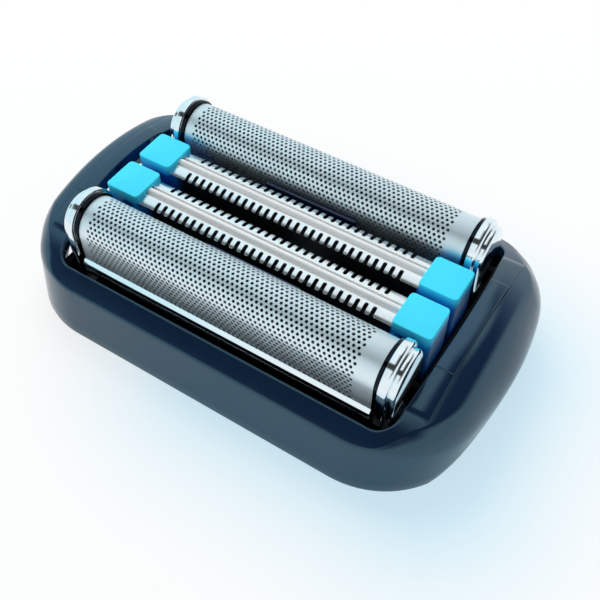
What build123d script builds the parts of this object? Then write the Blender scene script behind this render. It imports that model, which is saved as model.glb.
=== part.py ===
from build123d import *
from math import atan2, cos, pi, radians, sin, sqrt, tan
import os

# A shaver foil head: two sprung foils and two sprung trimmers in one moulded frame.
# Millimetres. X runs along the foils, front is -Y, Z is up, the origin is the middle of the base.

# Foils: perforated sheets bent to an arch
foil_length = 37.2
foil_sheet = 0.2
foil_top = 13.75
hole_rows = 4
hole_columns = 8
hole_row_angle = 30.0
hole_pitch = 4.0
hole_length = 2.4
hole_width = 0.9

# Foil carriers: plated frames with an arched cap at each end
carrier_width = 7.0
carrier_top = 14.35
cap_band = 1.5
rail_thickness = 0.4
rail_height = 1.7
rail_slope_height = 0.9
rail_lip = 0.05
rail_groove = 0.15
rail_groove_rise = 0.45
shelf_length = 2.6
shelf_thickness = 0.6
leg_thickness = 0.75
leg_inset = 0.4
leg_crown_drop = 0.65

# Foil clips: strips hooked under the inner rails
clip_length = 12.0
clip_thickness = 0.4
clip_top = 10.7
clip_hook = 0.3

# Cutters: lamellae standing in a bar with a drive socket
cutter_stroke = 1.0
bar_side_gap = 0.8
bar_thickness = 1.4
lamella_count = 4
lamella_pitch = 8.0
lamella_thickness = 0.35
socket_length = 8.0
socket_width = 3.6
socket_depth = 3.2
socket_slot = 1.8

# Trimmers: slotted combs between two end caps
comb_width = 4.2
comb_top = 11.2
comb_sheet = 0.35
comb_droop = 0.4
comb_rib_width = 1.0
comb_rib_height = 0.3
comb_groove_width = 0.25
comb_groove_depth = 0.15
slot_count = 29
slot_pitch = 1.0
slot_width = 0.5
slot_depth = 1.15
slot_margin = 0.1
tab_length = 1.5
tab_half_width = 0.7

# Trimmer end caps: an overhanging head on a leg
cap_head_length = 4.5
cap_width = 4.6
cap_top = 11.85
cap_head_thickness = 1.45
cap_leg_length = 2.3
cap_corner = 0.6
tongue_half_width = 1.6
lip_length = 2.35
lip_thickness = 0.65
pin_diameter = 1.2
pin_inset = 0.55
pin_drop = 2.35

# Trimmer blades and the sliders that carry them
blade_stroke = 0.6
blade_thickness = 0.35
blade_teeth = 6
blade_pitch = 4.6
blade_slot = 1.1
blade_slot_depth = 0.8
slider_thickness = 4.4
slider_half_width = 1.2
fork_length = 5.0
fork_depth = 1.75
fork_slot = 1.6

# Floating travel, springs and stops shared by the four units
float_travel = 1.2
spring_height = 1.6
spring_sheet = 0.25
spring_width = 1.6
spring_foot = 0.6
spring_crown = 1.2
foil_spring_span = 5.0
trimmer_spring_span = 3.8
toe_reach = 0.6
toe_height = 0.8
toe_half_width = 1.2

# Moulded frame
unit_gap = 0.8
cap_gap = 1.2
side_gap = 1.8
end_gap = 0.55
ledge_width = 1.9
ledge_rise = 0.25
ledge_half_span = 12.6
pad_rise = 0.15
pad_half_span = 6.6
lobe_width = 4.5
side_foot = 3.2
end_draft = 2.0
side_draft = 12.5
end_radius = 34.0
corner_radius = 12.0
crown_height = 10.7
crown_radius = 32.6
shoulder_margin = 0.9
shoulder_sweep = 80.0
shoulder_facets = 5
corner_facets = 8
end_facets = 4
brow_bevel = 0.8
crown_steps = 12
opening_end_radius = 89.0
opening_corner = 2.2
end_wall = 1.9
side_wall = 2.6
roof_wall = 1.3
arch_height = 5.0
arch_half_span = 13.0
arch_facets = 8
bead_length = 9.0
bead_reach = 0.45
bead_height = 0.6

# Chassis: the tray inside the frame
deck_bottom = 0.8
deck_thickness = 1.0
tray_wall_thickness = 0.9
tray_wall_height = 4.0
plate_thickness = 0.8
plate_lintel = 1.3
rib_half_thickness = 0.35
outer_rib_thickness = 0.8

# Clearances
running_clearance = 0.15
guide_clearance = 0.2
fit_clearance = 0.05
stop_clearance = 0.1
fuse_overlap = 0.3

# Places worked out from the sizes above
trimmer_axis = (cap_gap + cap_width) / 2
foil_axis = trimmer_axis + cap_width / 2 + unit_gap + carrier_width / 2
foil_half = foil_length / 2
cap_end = foil_half + cap_band
unit_end = cap_end + leg_thickness
plate_inner = unit_end + guide_clearance
plate_outer = plate_inner + plate_thickness
opening_half_length = plate_outer + end_gap
opening_half_width = foil_axis + carrier_width / 2 + side_gap
shoulder_start = opening_half_length + ledge_width
base_half_length = shoulder_start + lobe_width
base_half_width = opening_half_width + side_foot
crown_axis_height = crown_height - crown_radius
shoulder_radius = lobe_width + shoulder_margin
cavity_half_length = base_half_length - end_wall
cavity_half_width = base_half_width - side_wall
cavity_corner = corner_radius - end_wall

deck_top = deck_bottom + deck_thickness
leg_bottom = deck_top + spring_height
toe_top = leg_bottom + toe_height
window_top = toe_top + stop_clearance
window_bottom = leg_bottom - float_travel - running_clearance
plate_top = window_top + plate_lintel
rail_bottom = window_top + float_travel + guide_clearance
rail_top = rail_bottom + rail_height
shelf_top = rail_bottom + shelf_thickness
trough_half_width = carrier_width / 2 - rail_thickness
leg_half_width = carrier_width / 2 - leg_inset
foil_radius = trough_half_width - fit_clearance
foil_centre = foil_top - foil_radius
bar_half_width = trough_half_width - bar_side_gap

bar_bottom = shelf_top + guide_clearance
bar_top = bar_bottom + bar_thickness
bar_half_length = foil_half - cutter_stroke - 2 * guide_clearance
lamella_radius = foil_radius - foil_sheet - running_clearance

comb_under = comb_top - comb_sheet
blade_top = comb_under - comb_droop - running_clearance
slider_top = blade_top - blade_thickness
slider_bottom = slider_top - slider_thickness
lip_top = slider_bottom - guide_clearance
head_bottom = cap_top - cap_head_thickness
cap_outer = unit_end
cap_inner = cap_outer - cap_head_length
leg_inner = cap_outer - cap_leg_length
comb_half = cap_inner
tongue_inner = cap_inner - running_clearance * 2
blade_half = tongue_inner - running_clearance - blade_stroke
pin_x = cap_inner + pin_inset
pin_z = cap_top - pin_drop

os.makedirs("parts", exist_ok=True)
SIDES = (("front", -1), ("rear", 1))
ENDS = (("left", -1), ("right", 1))


def block(x_span, y_span, z_span, mode=Mode.ADD):
    """A rectangular block between the given pairs of limits, in either order."""
    spans = (x_span, y_span, z_span)
    middle = tuple(sum(span) / 2 for span in spans)
    size = tuple(abs(span[1] - span[0]) for span in spans)
    with Locations(middle):
        Box(*size, mode=mode)


def plan_outline(half_length, half_width, arc_radius, corner, height=0):
    """A plan with straight long sides, arced ends and rounded corners, at the given height."""
    corner_x = half_length - arc_radius + sqrt(arc_radius**2 - half_width**2)
    with BuildSketch(Plane.XY.offset(height)) as plan:
        with BuildLine():
            Line((-corner_x, -half_width), (corner_x, -half_width))
            ThreePointArc((corner_x, -half_width), (half_length, 0), (corner_x, half_width))
            Line((corner_x, half_width), (-corner_x, half_width))
            ThreePointArc((-corner_x, half_width), (-half_length, 0), (-corner_x, -half_width))
        make_face()
        fillet(plan.vertices(), corner)
    return plan.sketch


def plan_points(half_length, half_width, arc_radius, corner):
    """Points round the same kind of plan in facets, as many for every size."""
    arc_x = half_length - arc_radius
    corner_y = half_width - corner
    corner_x = arc_x + sqrt((arc_radius - corner) ** 2 - corner_y**2)
    turn = atan2(corner_y, corner_x - arc_x)
    quarter = []
    for step in range(corner_facets):
        angle = pi / 2 - (pi / 2 - turn) * step / corner_facets
        quarter.append((corner_x + corner * cos(angle), corner_y + corner * sin(angle)))
    for step in range(end_facets + 1):
        angle = turn * (1 - step / end_facets)
        quarter.append((arc_x + arc_radius * cos(angle), arc_radius * sin(angle)))
    right = quarter + [(x, -y) for x, y in reversed(quarter[:-1])]
    left = [(-x, -y) for x, y in right]
    return right + left


def arch_section(x, axis, half_width, top, bottom):
    """A cross-section at x with a round top, standing on the given bottom height."""
    spring_line = top - half_width
    left = axis - half_width
    right = axis + half_width
    with BuildSketch(Plane.YZ.offset(x)) as section:
        with BuildLine():
            Polyline((left, spring_line), (left, bottom), (right, bottom), (right, spring_line))
            ThreePointArc((right, spring_line), (axis, top), (left, spring_line))
        make_face()
    return section.sketch


def crown_at(x, y):
    """The height of the arched top over a place, with its fall towards each end."""
    beyond = max(abs(x) - shoulder_start, 0)
    fall = shoulder_radius - sqrt(shoulder_radius**2 - beyond**2)
    return crown_axis_height + sqrt((crown_radius - fall) ** 2 - y**2)


def crown_section(rise):
    """The section along the arched top, raised by the given height, with a faceted shoulder at each end."""
    radius = shoulder_radius + rise
    top = crown_height + rise
    right = []
    for step in range(shoulder_facets + 1):
        angle = radians(shoulder_sweep * step / shoulder_facets)
        right.append((shoulder_start + radius * sin(angle), top - radius * (1 - cos(angle))))
    right.append((right[-1][0], crown_height - shoulder_radius - base_half_width))
    left = [(-x, z) for x, z in reversed(right)]
    with BuildSketch(Plane.XZ) as section:
        with BuildLine():
            Polyline(*right, *left, close=True)
        make_face()
    return section.sketch


def end_arch(x):
    """The faceted arch under an end of the frame, in the plane at x."""
    points = []
    for step in range(arch_facets + 1):
        share = 2 * step / arch_facets - 1
        points.append((arch_half_span * share, arch_height * (1 - share**2)))
    with BuildSketch(Plane.YZ.offset(x)) as arch:
        with BuildLine():
            Polyline((-arch_half_span, -arch_height), *points, (arch_half_span, -arch_height), close=True)
        make_face()
    return arch.sketch


crown_axis = Axis((0, 0, crown_axis_height), (1, 0, 0))

# The hollow inside the frame, with its own lower arch
with BuildPart() as cavity:
    extrude(plan_outline(cavity_half_length, cavity_half_width, end_radius, cavity_corner), amount=crown_height)
    revolve(crown_section(-roof_wall), axis=crown_axis, mode=Mode.INTERSECT)

# The raised ledge at each end of the opening, with a pad in its middle
with BuildPart() as ledges:
    for name, end in ENDS:
        block((end * unit_end, end * shoulder_start), (-ledge_half_span, ledge_half_span), (0, 2 * crown_height))
    revolve(crown_section(ledge_rise), axis=crown_axis, mode=Mode.INTERSECT)
with BuildPart() as pads:
    for name, end in ENDS:
        block((end * unit_end, end * shoulder_start), (-pad_half_span, pad_half_span), (0, 2 * crown_height))
    revolve(crown_section(ledge_rise + pad_rise), axis=crown_axis, mode=Mode.INTERSECT)

# Frame: a drafted shell under an arched top, open below
with BuildPart() as frame:
    mould_height = crown_height + ledge_rise
    brim_half_length = base_half_length + mould_height * tan(radians(end_draft))
    brim_half_width = base_half_width - mould_height * tan(radians(side_draft))
    foot = plan_points(base_half_length, base_half_width, end_radius, corner_radius)
    brim = plan_points(brim_half_length, brim_half_width, end_radius, corner_radius)
    inset = plan_points(
        brim_half_length - brow_bevel,
        brim_half_width - brow_bevel,
        end_radius - brow_bevel,
        corner_radius - brow_bevel,
    )

    # Each wall runs up to a bevelled brow, which leans in over the arched top
    base_ring = [Vector(x, y, 0) for x, y in foot]
    brow_ring = []
    crest_ring = []
    for base, brim_point, inset_point in zip(base_ring, brim, inset):
        wall = Vector(*brim_point, mould_height) - base
        height = crown_height
        for step in range(crown_steps):
            meeting = base + wall * (height / mould_height)
            height = crown_at(meeting.X, meeting.Y)
        low = meeting - wall.normalized() * brow_bevel
        inner = meeting + Vector(*inset_point) - Vector(*brim_point)
        lean = Vector(inner.X, inner.Y, crown_at(inner.X, inner.Y)) - low
        brow_ring.append(low)
        crest_ring.append(low + lean * ((mould_height - low.Z) / lean.Z))
    rings = [Wire.make_polygon(ring) for ring in (base_ring, brow_ring, crest_ring)]
    add(Solid.make_loft(rings, ruled=True))

    # The arched top falls away in a shoulder beyond each ledge
    revolve(crown_section(0), axis=crown_axis, mode=Mode.INTERSECT)

    add(ledges.part)
    add(pads.part)
    add(cavity.part, mode=Mode.SUBTRACT)
    opening = plan_outline(opening_half_length, opening_half_width, opening_end_radius, opening_corner)
    extrude(opening, amount=2 * crown_height, mode=Mode.SUBTRACT)

    # An arch under each end lifts its lower edge
    for name, end in ENDS:
        extrude(end_arch(end * shoulder_start), amount=end * 2 * lobe_width, mode=Mode.SUBTRACT)

    # Snap beads on the long walls, which hold the chassis
    for side_name, side in SIDES:
        with BuildSketch(Plane.YZ.offset(-bead_length / 2)):
            with BuildLine():
                Polyline(
                    (side * (cavity_half_width + fuse_overlap), deck_bottom - bead_height),
                    (side * cavity_half_width, deck_bottom - bead_height),
                    (side * (cavity_half_width - bead_reach), deck_bottom),
                    (side * (cavity_half_width + fuse_overlap), deck_bottom),
                    close=True,
                )
            make_face()
        extrude(amount=bead_length)
frame.part.label = "frame"
export_step(frame.part, "parts/frame.step")

# Chassis: a tray snapped into the frame, with drive slots, guide ribs and stop windows
with BuildPart() as chassis:
    block((-plate_outer, plate_outer), (-cavity_half_width, cavity_half_width), (deck_bottom, deck_top))
    for side_name, side in SIDES:
        tray_wall = (side * (cavity_half_width - tray_wall_thickness), side * cavity_half_width)
        block((-plate_outer, plate_outer), tray_wall, (deck_bottom, deck_bottom + tray_wall_height))
    inner_rib = (
        trimmer_axis + cap_width / 2 + guide_clearance,
        foil_axis - leg_half_width - guide_clearance,
    )
    outer_rib_start = foil_axis + leg_half_width + guide_clearance
    outer_rib = (outer_rib_start, outer_rib_start + outer_rib_thickness)
    for name, end in ENDS:
        plate_x = (end * plate_inner, end * plate_outer)
        block(plate_x, (-outer_rib[1], outer_rib[1]), (deck_bottom, plate_top))
        rib_x = (end * leg_inner, end * plate_outer)
        block(rib_x, (-rib_half_thickness, rib_half_thickness), (deck_bottom, window_top))
        for side_name, side in SIDES:
            for rib in (inner_rib, outer_rib):
                block(rib_x, (side * rib[0], side * rib[1]), (deck_bottom, window_top))
            for axis in (trimmer_axis, foil_axis):
                half_window = toe_half_width + guide_clearance
                window_y = (side * axis - half_window, side * axis + half_window)
                block(plate_x, window_y, (window_bottom, window_top), Mode.SUBTRACT)
    for axis, drive_x, drive_y in (
        (foil_axis, socket_length / 4 + cutter_stroke, socket_slot / 2),
        (trimmer_axis, fork_slot / 2 + blade_stroke, slider_half_width),
    ):
        half_x = drive_x + guide_clearance
        half_y = drive_y + guide_clearance
        for side_name, side in SIDES:
            drive_span = (side * axis - half_y, side * axis + half_y)
            block((-half_x, half_x), drive_span, (deck_bottom, deck_top), Mode.SUBTRACT)
    tray_half_length = cavity_half_length - fit_clearance
    tray_half_width = cavity_half_width - fit_clearance
    tray_plan = plan_outline(tray_half_length, tray_half_width, end_radius, cavity_corner)
    extrude(tray_plan, amount=crown_height, mode=Mode.INTERSECT)
    revolve(crown_section(-roof_wall - fit_clearance), axis=crown_axis, mode=Mode.INTERSECT)
chassis.part.label = "chassis"
export_step(chassis.part, "parts/chassis.step")

for side_name, side in SIDES:
    axis = side * foil_axis

    # Foil carrier: two long rails between arched end caps, each with a leg and a stop toe
    with BuildPart() as carrier:
        extrude(arch_section(-cap_end, axis, carrier_width / 2, carrier_top, rail_bottom), amount=2 * cap_end)
        outer = carrier_width / 2
        block((-foil_half, foil_half), (axis - outer, axis + outer), (rail_top, carrier_top), Mode.SUBTRACT)
        trough = (axis - trough_half_width, axis + trough_half_width)
        block((-foil_half, foil_half), trough, (rail_bottom, rail_top), Mode.SUBTRACT)
        groove_bottom = rail_bottom + rail_groove_rise
        groove_z = (groove_bottom, groove_bottom + rail_groove)
        for rail_side in (-1, 1):
            face = axis + rail_side * outer
            block((-foil_half, foil_half), (face - rail_groove, face + rail_groove), groove_z, Mode.SUBTRACT)
            with BuildSketch(Plane.YZ.offset(-foil_half)):
                with BuildLine():
                    Polyline(
                        (face, rail_top - rail_slope_height),
                        (face, rail_top),
                        (face - rail_side * (rail_thickness - rail_lip), rail_top),
                        close=True,
                    )
                make_face()
            extrude(amount=foil_length, mode=Mode.SUBTRACT)
        for name, end in ENDS:
            block((end * (foil_half - shelf_length), end * foil_half), trough, (rail_bottom, shelf_top))
            leg_top = carrier_top - leg_crown_drop
            leg = arch_section(end * cap_end, axis, leg_half_width, leg_top, leg_bottom)
            extrude(leg, amount=end * leg_thickness)
            toe_x = (end * (unit_end - fuse_overlap), end * (unit_end + toe_reach))
            block(toe_x, (axis - toe_half_width, axis + toe_half_width), (leg_bottom, toe_top))
    carrier.part.label = f"{side_name}_foil_carrier"
    export_step(carrier.part, f"parts/{side_name}_foil_carrier.step")

    # Foil: a thin arch with staggered rows of oblong holes
    with BuildPart() as foil:
        outside = arch_section(-foil_half, axis, foil_radius, foil_top, shelf_top)
        extrude(outside, amount=foil_length)
        inside = arch_section(-foil_half, axis, foil_radius - foil_sheet, foil_top - foil_sheet, shelf_top)
        extrude(inside, amount=foil_length, mode=Mode.SUBTRACT)
        for row in range(hole_rows):
            turn = (row - (hole_rows - 1) / 2) * hole_row_angle
            upright = Plane((0, axis, foil_centre), x_dir=(1, 0, 0), z_dir=(0, 0, 1))
            stagger = (row % 2 - 0.5) * hole_pitch / 2
            with BuildSketch(upright.rotated((turn, 0, 0))):
                with Locations((stagger, 0)):
                    with GridLocations(hole_pitch, 1, hole_columns, 1):
                        Rectangle(hole_length, hole_width)
            extrude(amount=2 * foil_radius, mode=Mode.SUBTRACT)
    foil.part.label = f"{side_name}_foil"
    export_step(foil.part, f"parts/{side_name}_foil.step")

    # Foil clip: a strip on the inner rail, hooked under it
    with BuildPart() as clip:
        inner_face = axis - side * carrier_width / 2
        clip_y = (inner_face - side * clip_thickness, inner_face)
        block((-clip_length / 2, clip_length / 2), clip_y, (rail_bottom - clip_hook, clip_top))
        hook_y = (inner_face - side * clip_thickness, inner_face + side * rail_thickness)
        block((-clip_length / 2, clip_length / 2), hook_y, (rail_bottom - clip_hook, rail_bottom))
    clip.part.label = f"{side_name}_foil_clip"
    export_step(clip.part, f"parts/{side_name}_foil_clip.step")

    # Cutter carrier: a bar that runs on the carrier's end shelves, with a drive socket below
    with BuildPart() as bar:
        bar_y = (axis - bar_half_width, axis + bar_half_width)
        block((-bar_half_length, bar_half_length), bar_y, (bar_bottom, bar_top))
        socket_y = (axis - socket_width / 2, axis + socket_width / 2)
        block((-socket_length / 2, socket_length / 2), socket_y, (bar_bottom - socket_depth, bar_bottom))
        slot_y = (axis - socket_slot / 2, axis + socket_slot / 2)
        slot_z = (bar_bottom - socket_depth, bar_bottom)
        block((-socket_length / 4, socket_length / 4), slot_y, slot_z, Mode.SUBTRACT)
    bar.part.label = f"{side_name}_cutter_carrier"
    export_step(bar.part, f"parts/{side_name}_cutter_carrier.step")

    # Cutter blades: arched lamellae standing on the bar
    with BuildPart() as lamellae:
        for number in range(lamella_count):
            x = (number - (lamella_count - 1) / 2) * lamella_pitch
            face_x = x - lamella_thickness / 2
            lamella = arch_section(face_x, axis, lamella_radius, foil_centre + lamella_radius, bar_top)
            extrude(lamella, amount=lamella_thickness)
    lamellae.part.label = f"{side_name}_cutter_blades"
    export_step(lamellae.part, f"parts/{side_name}_cutter_blades.step")

for side_name, side in SIDES:
    axis = side * trimmer_axis
    half_width = comb_width / 2

    # Trimmer comb: a bent sheet with a middle rib, slotted along both edges, with end tabs
    with BuildPart() as comb:
        rib = comb_rib_width / 2
        groove = rib + comb_groove_width
        fold = half_width - slot_depth - slot_margin
        rib_bevel = comb_rib_height / 2
        with BuildSketch(Plane.YZ.offset(-comb_half)):
            with BuildLine():
                half_section = (
                    (0, comb_top + comb_rib_height),
                    (rib - rib_bevel, comb_top + comb_rib_height),
                    (rib, comb_top + comb_rib_height - rib_bevel),
                    (rib, comb_top - comb_groove_depth),
                    (groove, comb_top - comb_groove_depth),
                    (groove, comb_top),
                    (fold, comb_top),
                    (half_width, comb_top - comb_droop),
                    (half_width, comb_under - comb_droop),
                    (fold, comb_under),
                )
                right = [(axis + y, z) for y, z in half_section]
                left = [(axis - y, z) for y, z in reversed(half_section[1:])]
                Polyline(*right, *left, close=True)
            make_face()
        extrude(amount=2 * comb_half)
        for edge_side in (-1, 1):
            slot_middle = axis + edge_side * (half_width - slot_depth / 2 + slot_margin / 2)
            with BuildSketch(Plane.XY.offset(comb_under - comb_droop)):
                with Locations((0, slot_middle)):
                    with GridLocations(slot_pitch, 1, slot_count, 1):
                        Rectangle(slot_width, slot_depth + slot_margin)
            extrude(amount=comb_sheet + 2 * comb_droop, mode=Mode.SUBTRACT)
        for name, end in ENDS:
            tab_x = (end * (comb_half - fuse_overlap), end * (comb_half + tab_length))
            block(tab_x, (axis - tab_half_width, axis + tab_half_width), (comb_under, comb_top))
    comb.part.label = f"{side_name}_trimmer_comb"
    export_step(comb.part, f"parts/{side_name}_trimmer_comb.step")

    # Trimmer end caps: a rounded head on a leg, slotted for the comb's tab, with a lip under the slider
    for end_name, end in ENDS:
        with BuildPart() as cap:
            with BuildSketch(Plane.XZ.offset(-axis)):
                with BuildLine():
                    Polyline(
                        (end * cap_inner, cap_top),
                        (end * cap_outer, cap_top),
                        (end * cap_outer, leg_bottom),
                        (end * leg_inner, leg_bottom),
                        (end * leg_inner, head_bottom),
                        (end * cap_inner, head_bottom),
                        close=True,
                    )
                make_face()
            extrude(amount=cap_width / 2, both=True)
            uprights = cap.edges().filter_by(Axis.Z)
            head_edges = uprights.filter_by(lambda edge: edge.bounding_box().max.Z > head_bottom + cap_corner)
            chamfer(head_edges, cap_corner)
            tongue_y = (axis - tongue_half_width, axis + tongue_half_width)
            tongue_x = (end * tongue_inner, end * (leg_inner + fuse_overlap))
            block(tongue_x, tongue_y, (lip_top - lip_thickness, head_bottom))
            lip_x = (end * (tongue_inner - lip_length), end * tongue_inner)
            lip_y = (axis - slider_half_width, axis + slider_half_width)
            block(lip_x, lip_y, (lip_top - lip_thickness, lip_top))
            slot_x = (end * cap_inner, end * (comb_half + tab_length + fit_clearance))
            slot_half_width = tab_half_width + fit_clearance
            slot_z = (comb_under - fit_clearance, comb_top + fit_clearance)
            block(slot_x, (axis - slot_half_width, axis + slot_half_width), slot_z, Mode.SUBTRACT)
            with Locations((end * pin_x, axis + side * cap_width / 4, pin_z)):
                Cylinder(pin_diameter / 2, cap_width / 2, rotation=(90, 0, 0))
            toe_x = (end * (unit_end - fuse_overlap), end * (unit_end + toe_reach))
            block(toe_x, (axis - toe_half_width, axis + toe_half_width), (leg_bottom, toe_top))
        cap.part.label = f"{side_name}_trimmer_{end_name}_cap"
        export_step(cap.part, f"parts/{side_name}_trimmer_{end_name}_cap.step")

    # Trimmer blade: a toothed plate that runs under the comb
    with BuildPart() as blade:
        blade_half_width = half_width - comb_sheet - guide_clearance
        blade_y = (axis - blade_half_width, axis + blade_half_width)
        block((-blade_half, blade_half), blade_y, (slider_top, blade_top))
        for edge_side in (-1, 1):
            slot_y = axis + edge_side * (blade_half_width - blade_slot_depth / 2)
            with BuildSketch(Plane.XY.offset(slider_top)):
                with Locations((0, slot_y)):
                    with GridLocations(blade_pitch, 1, blade_teeth, 1):
                        Rectangle(blade_slot, blade_slot_depth)
            extrude(amount=blade_thickness, mode=Mode.SUBTRACT)
    blade.part.label = f"{side_name}_trimmer_blade"
    export_step(blade.part, f"parts/{side_name}_trimmer_blade.step")

    # Trimmer slider: a bar between the cap lips and the blade, with a drive fork below
    with BuildPart() as slider:
        slider_y = (axis - slider_half_width, axis + slider_half_width)
        block((-blade_half, blade_half), slider_y, (slider_bottom, slider_top))
        fork_z = (slider_bottom - fork_depth, slider_bottom)
        block((-fork_length / 2, fork_length / 2), slider_y, fork_z)
        block((-fork_slot / 2, fork_slot / 2), slider_y, fork_z, Mode.SUBTRACT)
    slider.part.label = f"{side_name}_trimmer_slider"
    export_step(slider.part, f"parts/{side_name}_trimmer_slider.step")

# Leaf springs: a bowed strip between the deck and each leg
for unit, unit_axis, span, leg_middle in (
    ("foil", foil_axis, foil_spring_span, unit_end - spring_width / 2),
    ("trimmer", trimmer_axis, trimmer_spring_span, unit_end - cap_leg_length / 2),
):
    for side_name, side in SIDES:
        axis = side * unit_axis
        with BuildPart() as springs:
            for name, end in ENDS:
                with BuildSketch(Plane.YZ.offset(end * leg_middle)):
                    with BuildLine():
                        upper = (
                            (-span / 2, deck_top + spring_sheet),
                            (spring_foot - span / 2, deck_top + spring_sheet),
                            (-spring_crown / 2, leg_bottom),
                            (spring_crown / 2, leg_bottom),
                            (span / 2 - spring_foot, deck_top + spring_sheet),
                            (span / 2, deck_top + spring_sheet),
                        )
                        lower = [(y, z - spring_sheet) for y, z in reversed(upper)]
                        Polyline(*[(axis + y, z) for y, z in (*upper, *lower)], close=True)
                    make_face()
                extrude(amount=spring_width / 2, both=True)
        springs.part.label = f"{side_name}_{unit}_springs"
        export_step(springs.part, f"parts/{side_name}_{unit}_springs.step")
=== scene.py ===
"""Looks of a shaver foil head: a moulded frame, two sprung foils, two trimmers and their works."""

from __future__ import annotations

import logging
import math
from collections.abc import Sequence
from dataclasses import dataclass
from enum import Enum

import bmesh
import bpy
from mathutils import Matrix, Vector

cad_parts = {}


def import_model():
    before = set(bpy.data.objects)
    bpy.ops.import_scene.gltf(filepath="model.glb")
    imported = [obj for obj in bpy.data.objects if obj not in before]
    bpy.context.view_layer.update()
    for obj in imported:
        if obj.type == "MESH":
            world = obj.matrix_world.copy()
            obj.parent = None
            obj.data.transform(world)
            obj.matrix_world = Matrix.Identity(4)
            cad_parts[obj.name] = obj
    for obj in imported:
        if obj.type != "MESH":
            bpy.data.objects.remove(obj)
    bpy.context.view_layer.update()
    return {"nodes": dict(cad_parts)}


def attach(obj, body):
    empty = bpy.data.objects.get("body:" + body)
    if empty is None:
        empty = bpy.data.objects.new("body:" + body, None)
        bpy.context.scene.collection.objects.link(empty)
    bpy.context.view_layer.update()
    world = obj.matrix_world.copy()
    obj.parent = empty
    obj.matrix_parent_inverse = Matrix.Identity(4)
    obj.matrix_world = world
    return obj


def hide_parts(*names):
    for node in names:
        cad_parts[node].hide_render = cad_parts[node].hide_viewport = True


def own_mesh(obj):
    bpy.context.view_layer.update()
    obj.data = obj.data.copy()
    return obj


LOG = logging.getLogger("foil_head")
MM = 0.001

Point2 = tuple[float, float]
Point3 = tuple[float, float, float]
Colour = tuple[float, float, float]
Number = "float | Shade"
Tint = "Colour | bpy.types.NodeSocket"


class Side(Enum):
    """The two mirrored halves of the head, with the sign of their Y."""

    FRONT = -1
    REAR = 1

    @property
    def word(self) -> str:
        """The name that pieces of this half start with."""
        return self.name.lower()


class End(Enum):
    """The two ends of the head, with the sign of their X."""

    LEFT = -1
    RIGHT = 1

    @property
    def word(self) -> str:
        """The name that pieces at this end carry."""
        return self.name.lower()

    def span(self, first: float, second: float) -> Point2:
        """The limits in X, lowest first, of a stretch between two distances from the middle."""
        low, high = sorted((self.value * first, self.value * second))
        return low, high


class Slot(Enum):
    """The record's material slots."""

    FRAME = "frame_plastic"
    DARK = "dark_plastic"
    PLATING = "plating"
    FOIL = "foil_steel"
    CLIP = "clip_plastic"
    COMB = "comb_steel"
    CAP = "cap_plastic"
    BLADE = "blade_steel"


class Shade:
    """A node socket that takes part in Python arithmetic, in a shader or a geometry tree."""

    def __init__(self, tree: bpy.types.NodeTree, socket: bpy.types.NodeSocket) -> None:
        """Wraps one output socket of a tree."""
        self.tree = tree
        self.socket = socket

    def math(self, operation: str, first: Number, second: Number = 0.0) -> Shade:
        """Adds one Math node.

        Args:
            operation: the node's operation.
            first: the first input, a number or a socket.
            second: the second input, where the operation has one.

        Returns:
            The node's result.
        """
        node = self.tree.nodes.new("ShaderNodeMath")
        node.operation = operation
        for place, value in enumerate((first, second)):
            if isinstance(value, Shade):
                self.tree.links.new(value.socket, node.inputs[place])
            else:
                node.inputs[place].default_value = value
        return Shade(self.tree, node.outputs[0])

    def __add__(self, other: Number) -> Shade:
        """Adds."""
        return self.math("ADD", self, other)

    __radd__ = __add__

    def __sub__(self, other: Number) -> Shade:
        """Takes the other away."""
        return self.math("SUBTRACT", self, other)

    def __rsub__(self, other: Number) -> Shade:
        """Is taken away from the other."""
        return self.math("SUBTRACT", other, self)

    def __mul__(self, other: Number) -> Shade:
        """Multiplies."""
        return self.math("MULTIPLY", self, other)

    __rmul__ = __mul__

    def __truediv__(self, other: Number) -> Shade:
        """Divides by the other."""
        return self.math("DIVIDE", self, other)

    def __pow__(self, other: Number) -> Shade:
        """Raises to a power."""
        return self.math("POWER", self, other)

    def __mod__(self, other: Number) -> Shade:
        """The rest after a division."""
        return self.math("MODULO", self, other)

    def __abs__(self) -> Shade:
        """The size without its sign."""
        return self.math("ABSOLUTE", self)

    def above(self, other: Number) -> Shade:
        """One where this is greater than the other, else zero."""
        return self.math("GREATER_THAN", self, other)

    def least(self, other: Number) -> Shade:
        """The smaller of the two."""
        return self.math("MINIMUM", self, other)

    def most(self, other: Number) -> Shade:
        """The greater of the two."""
        return self.math("MAXIMUM", self, other)

    def between(self, low: Number, high: Number) -> Shade:
        """Held between two limits."""
        return self.most(low).least(high)

    def ramp(self, start: float, end: float) -> Shade:
        """Nought up to the start, one from the end on, and straight between them."""
        return ((self - start) / (end - start)).between(0.0, 1.0)

    def sine(self) -> Shade:
        """The sine."""
        return self.math("SINE", self)

    def cosine(self) -> Shade:
        """The cosine."""
        return self.math("COSINE", self)

    def floor(self) -> Shade:
        """The whole part."""
        return self.math("FLOOR", self)


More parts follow.
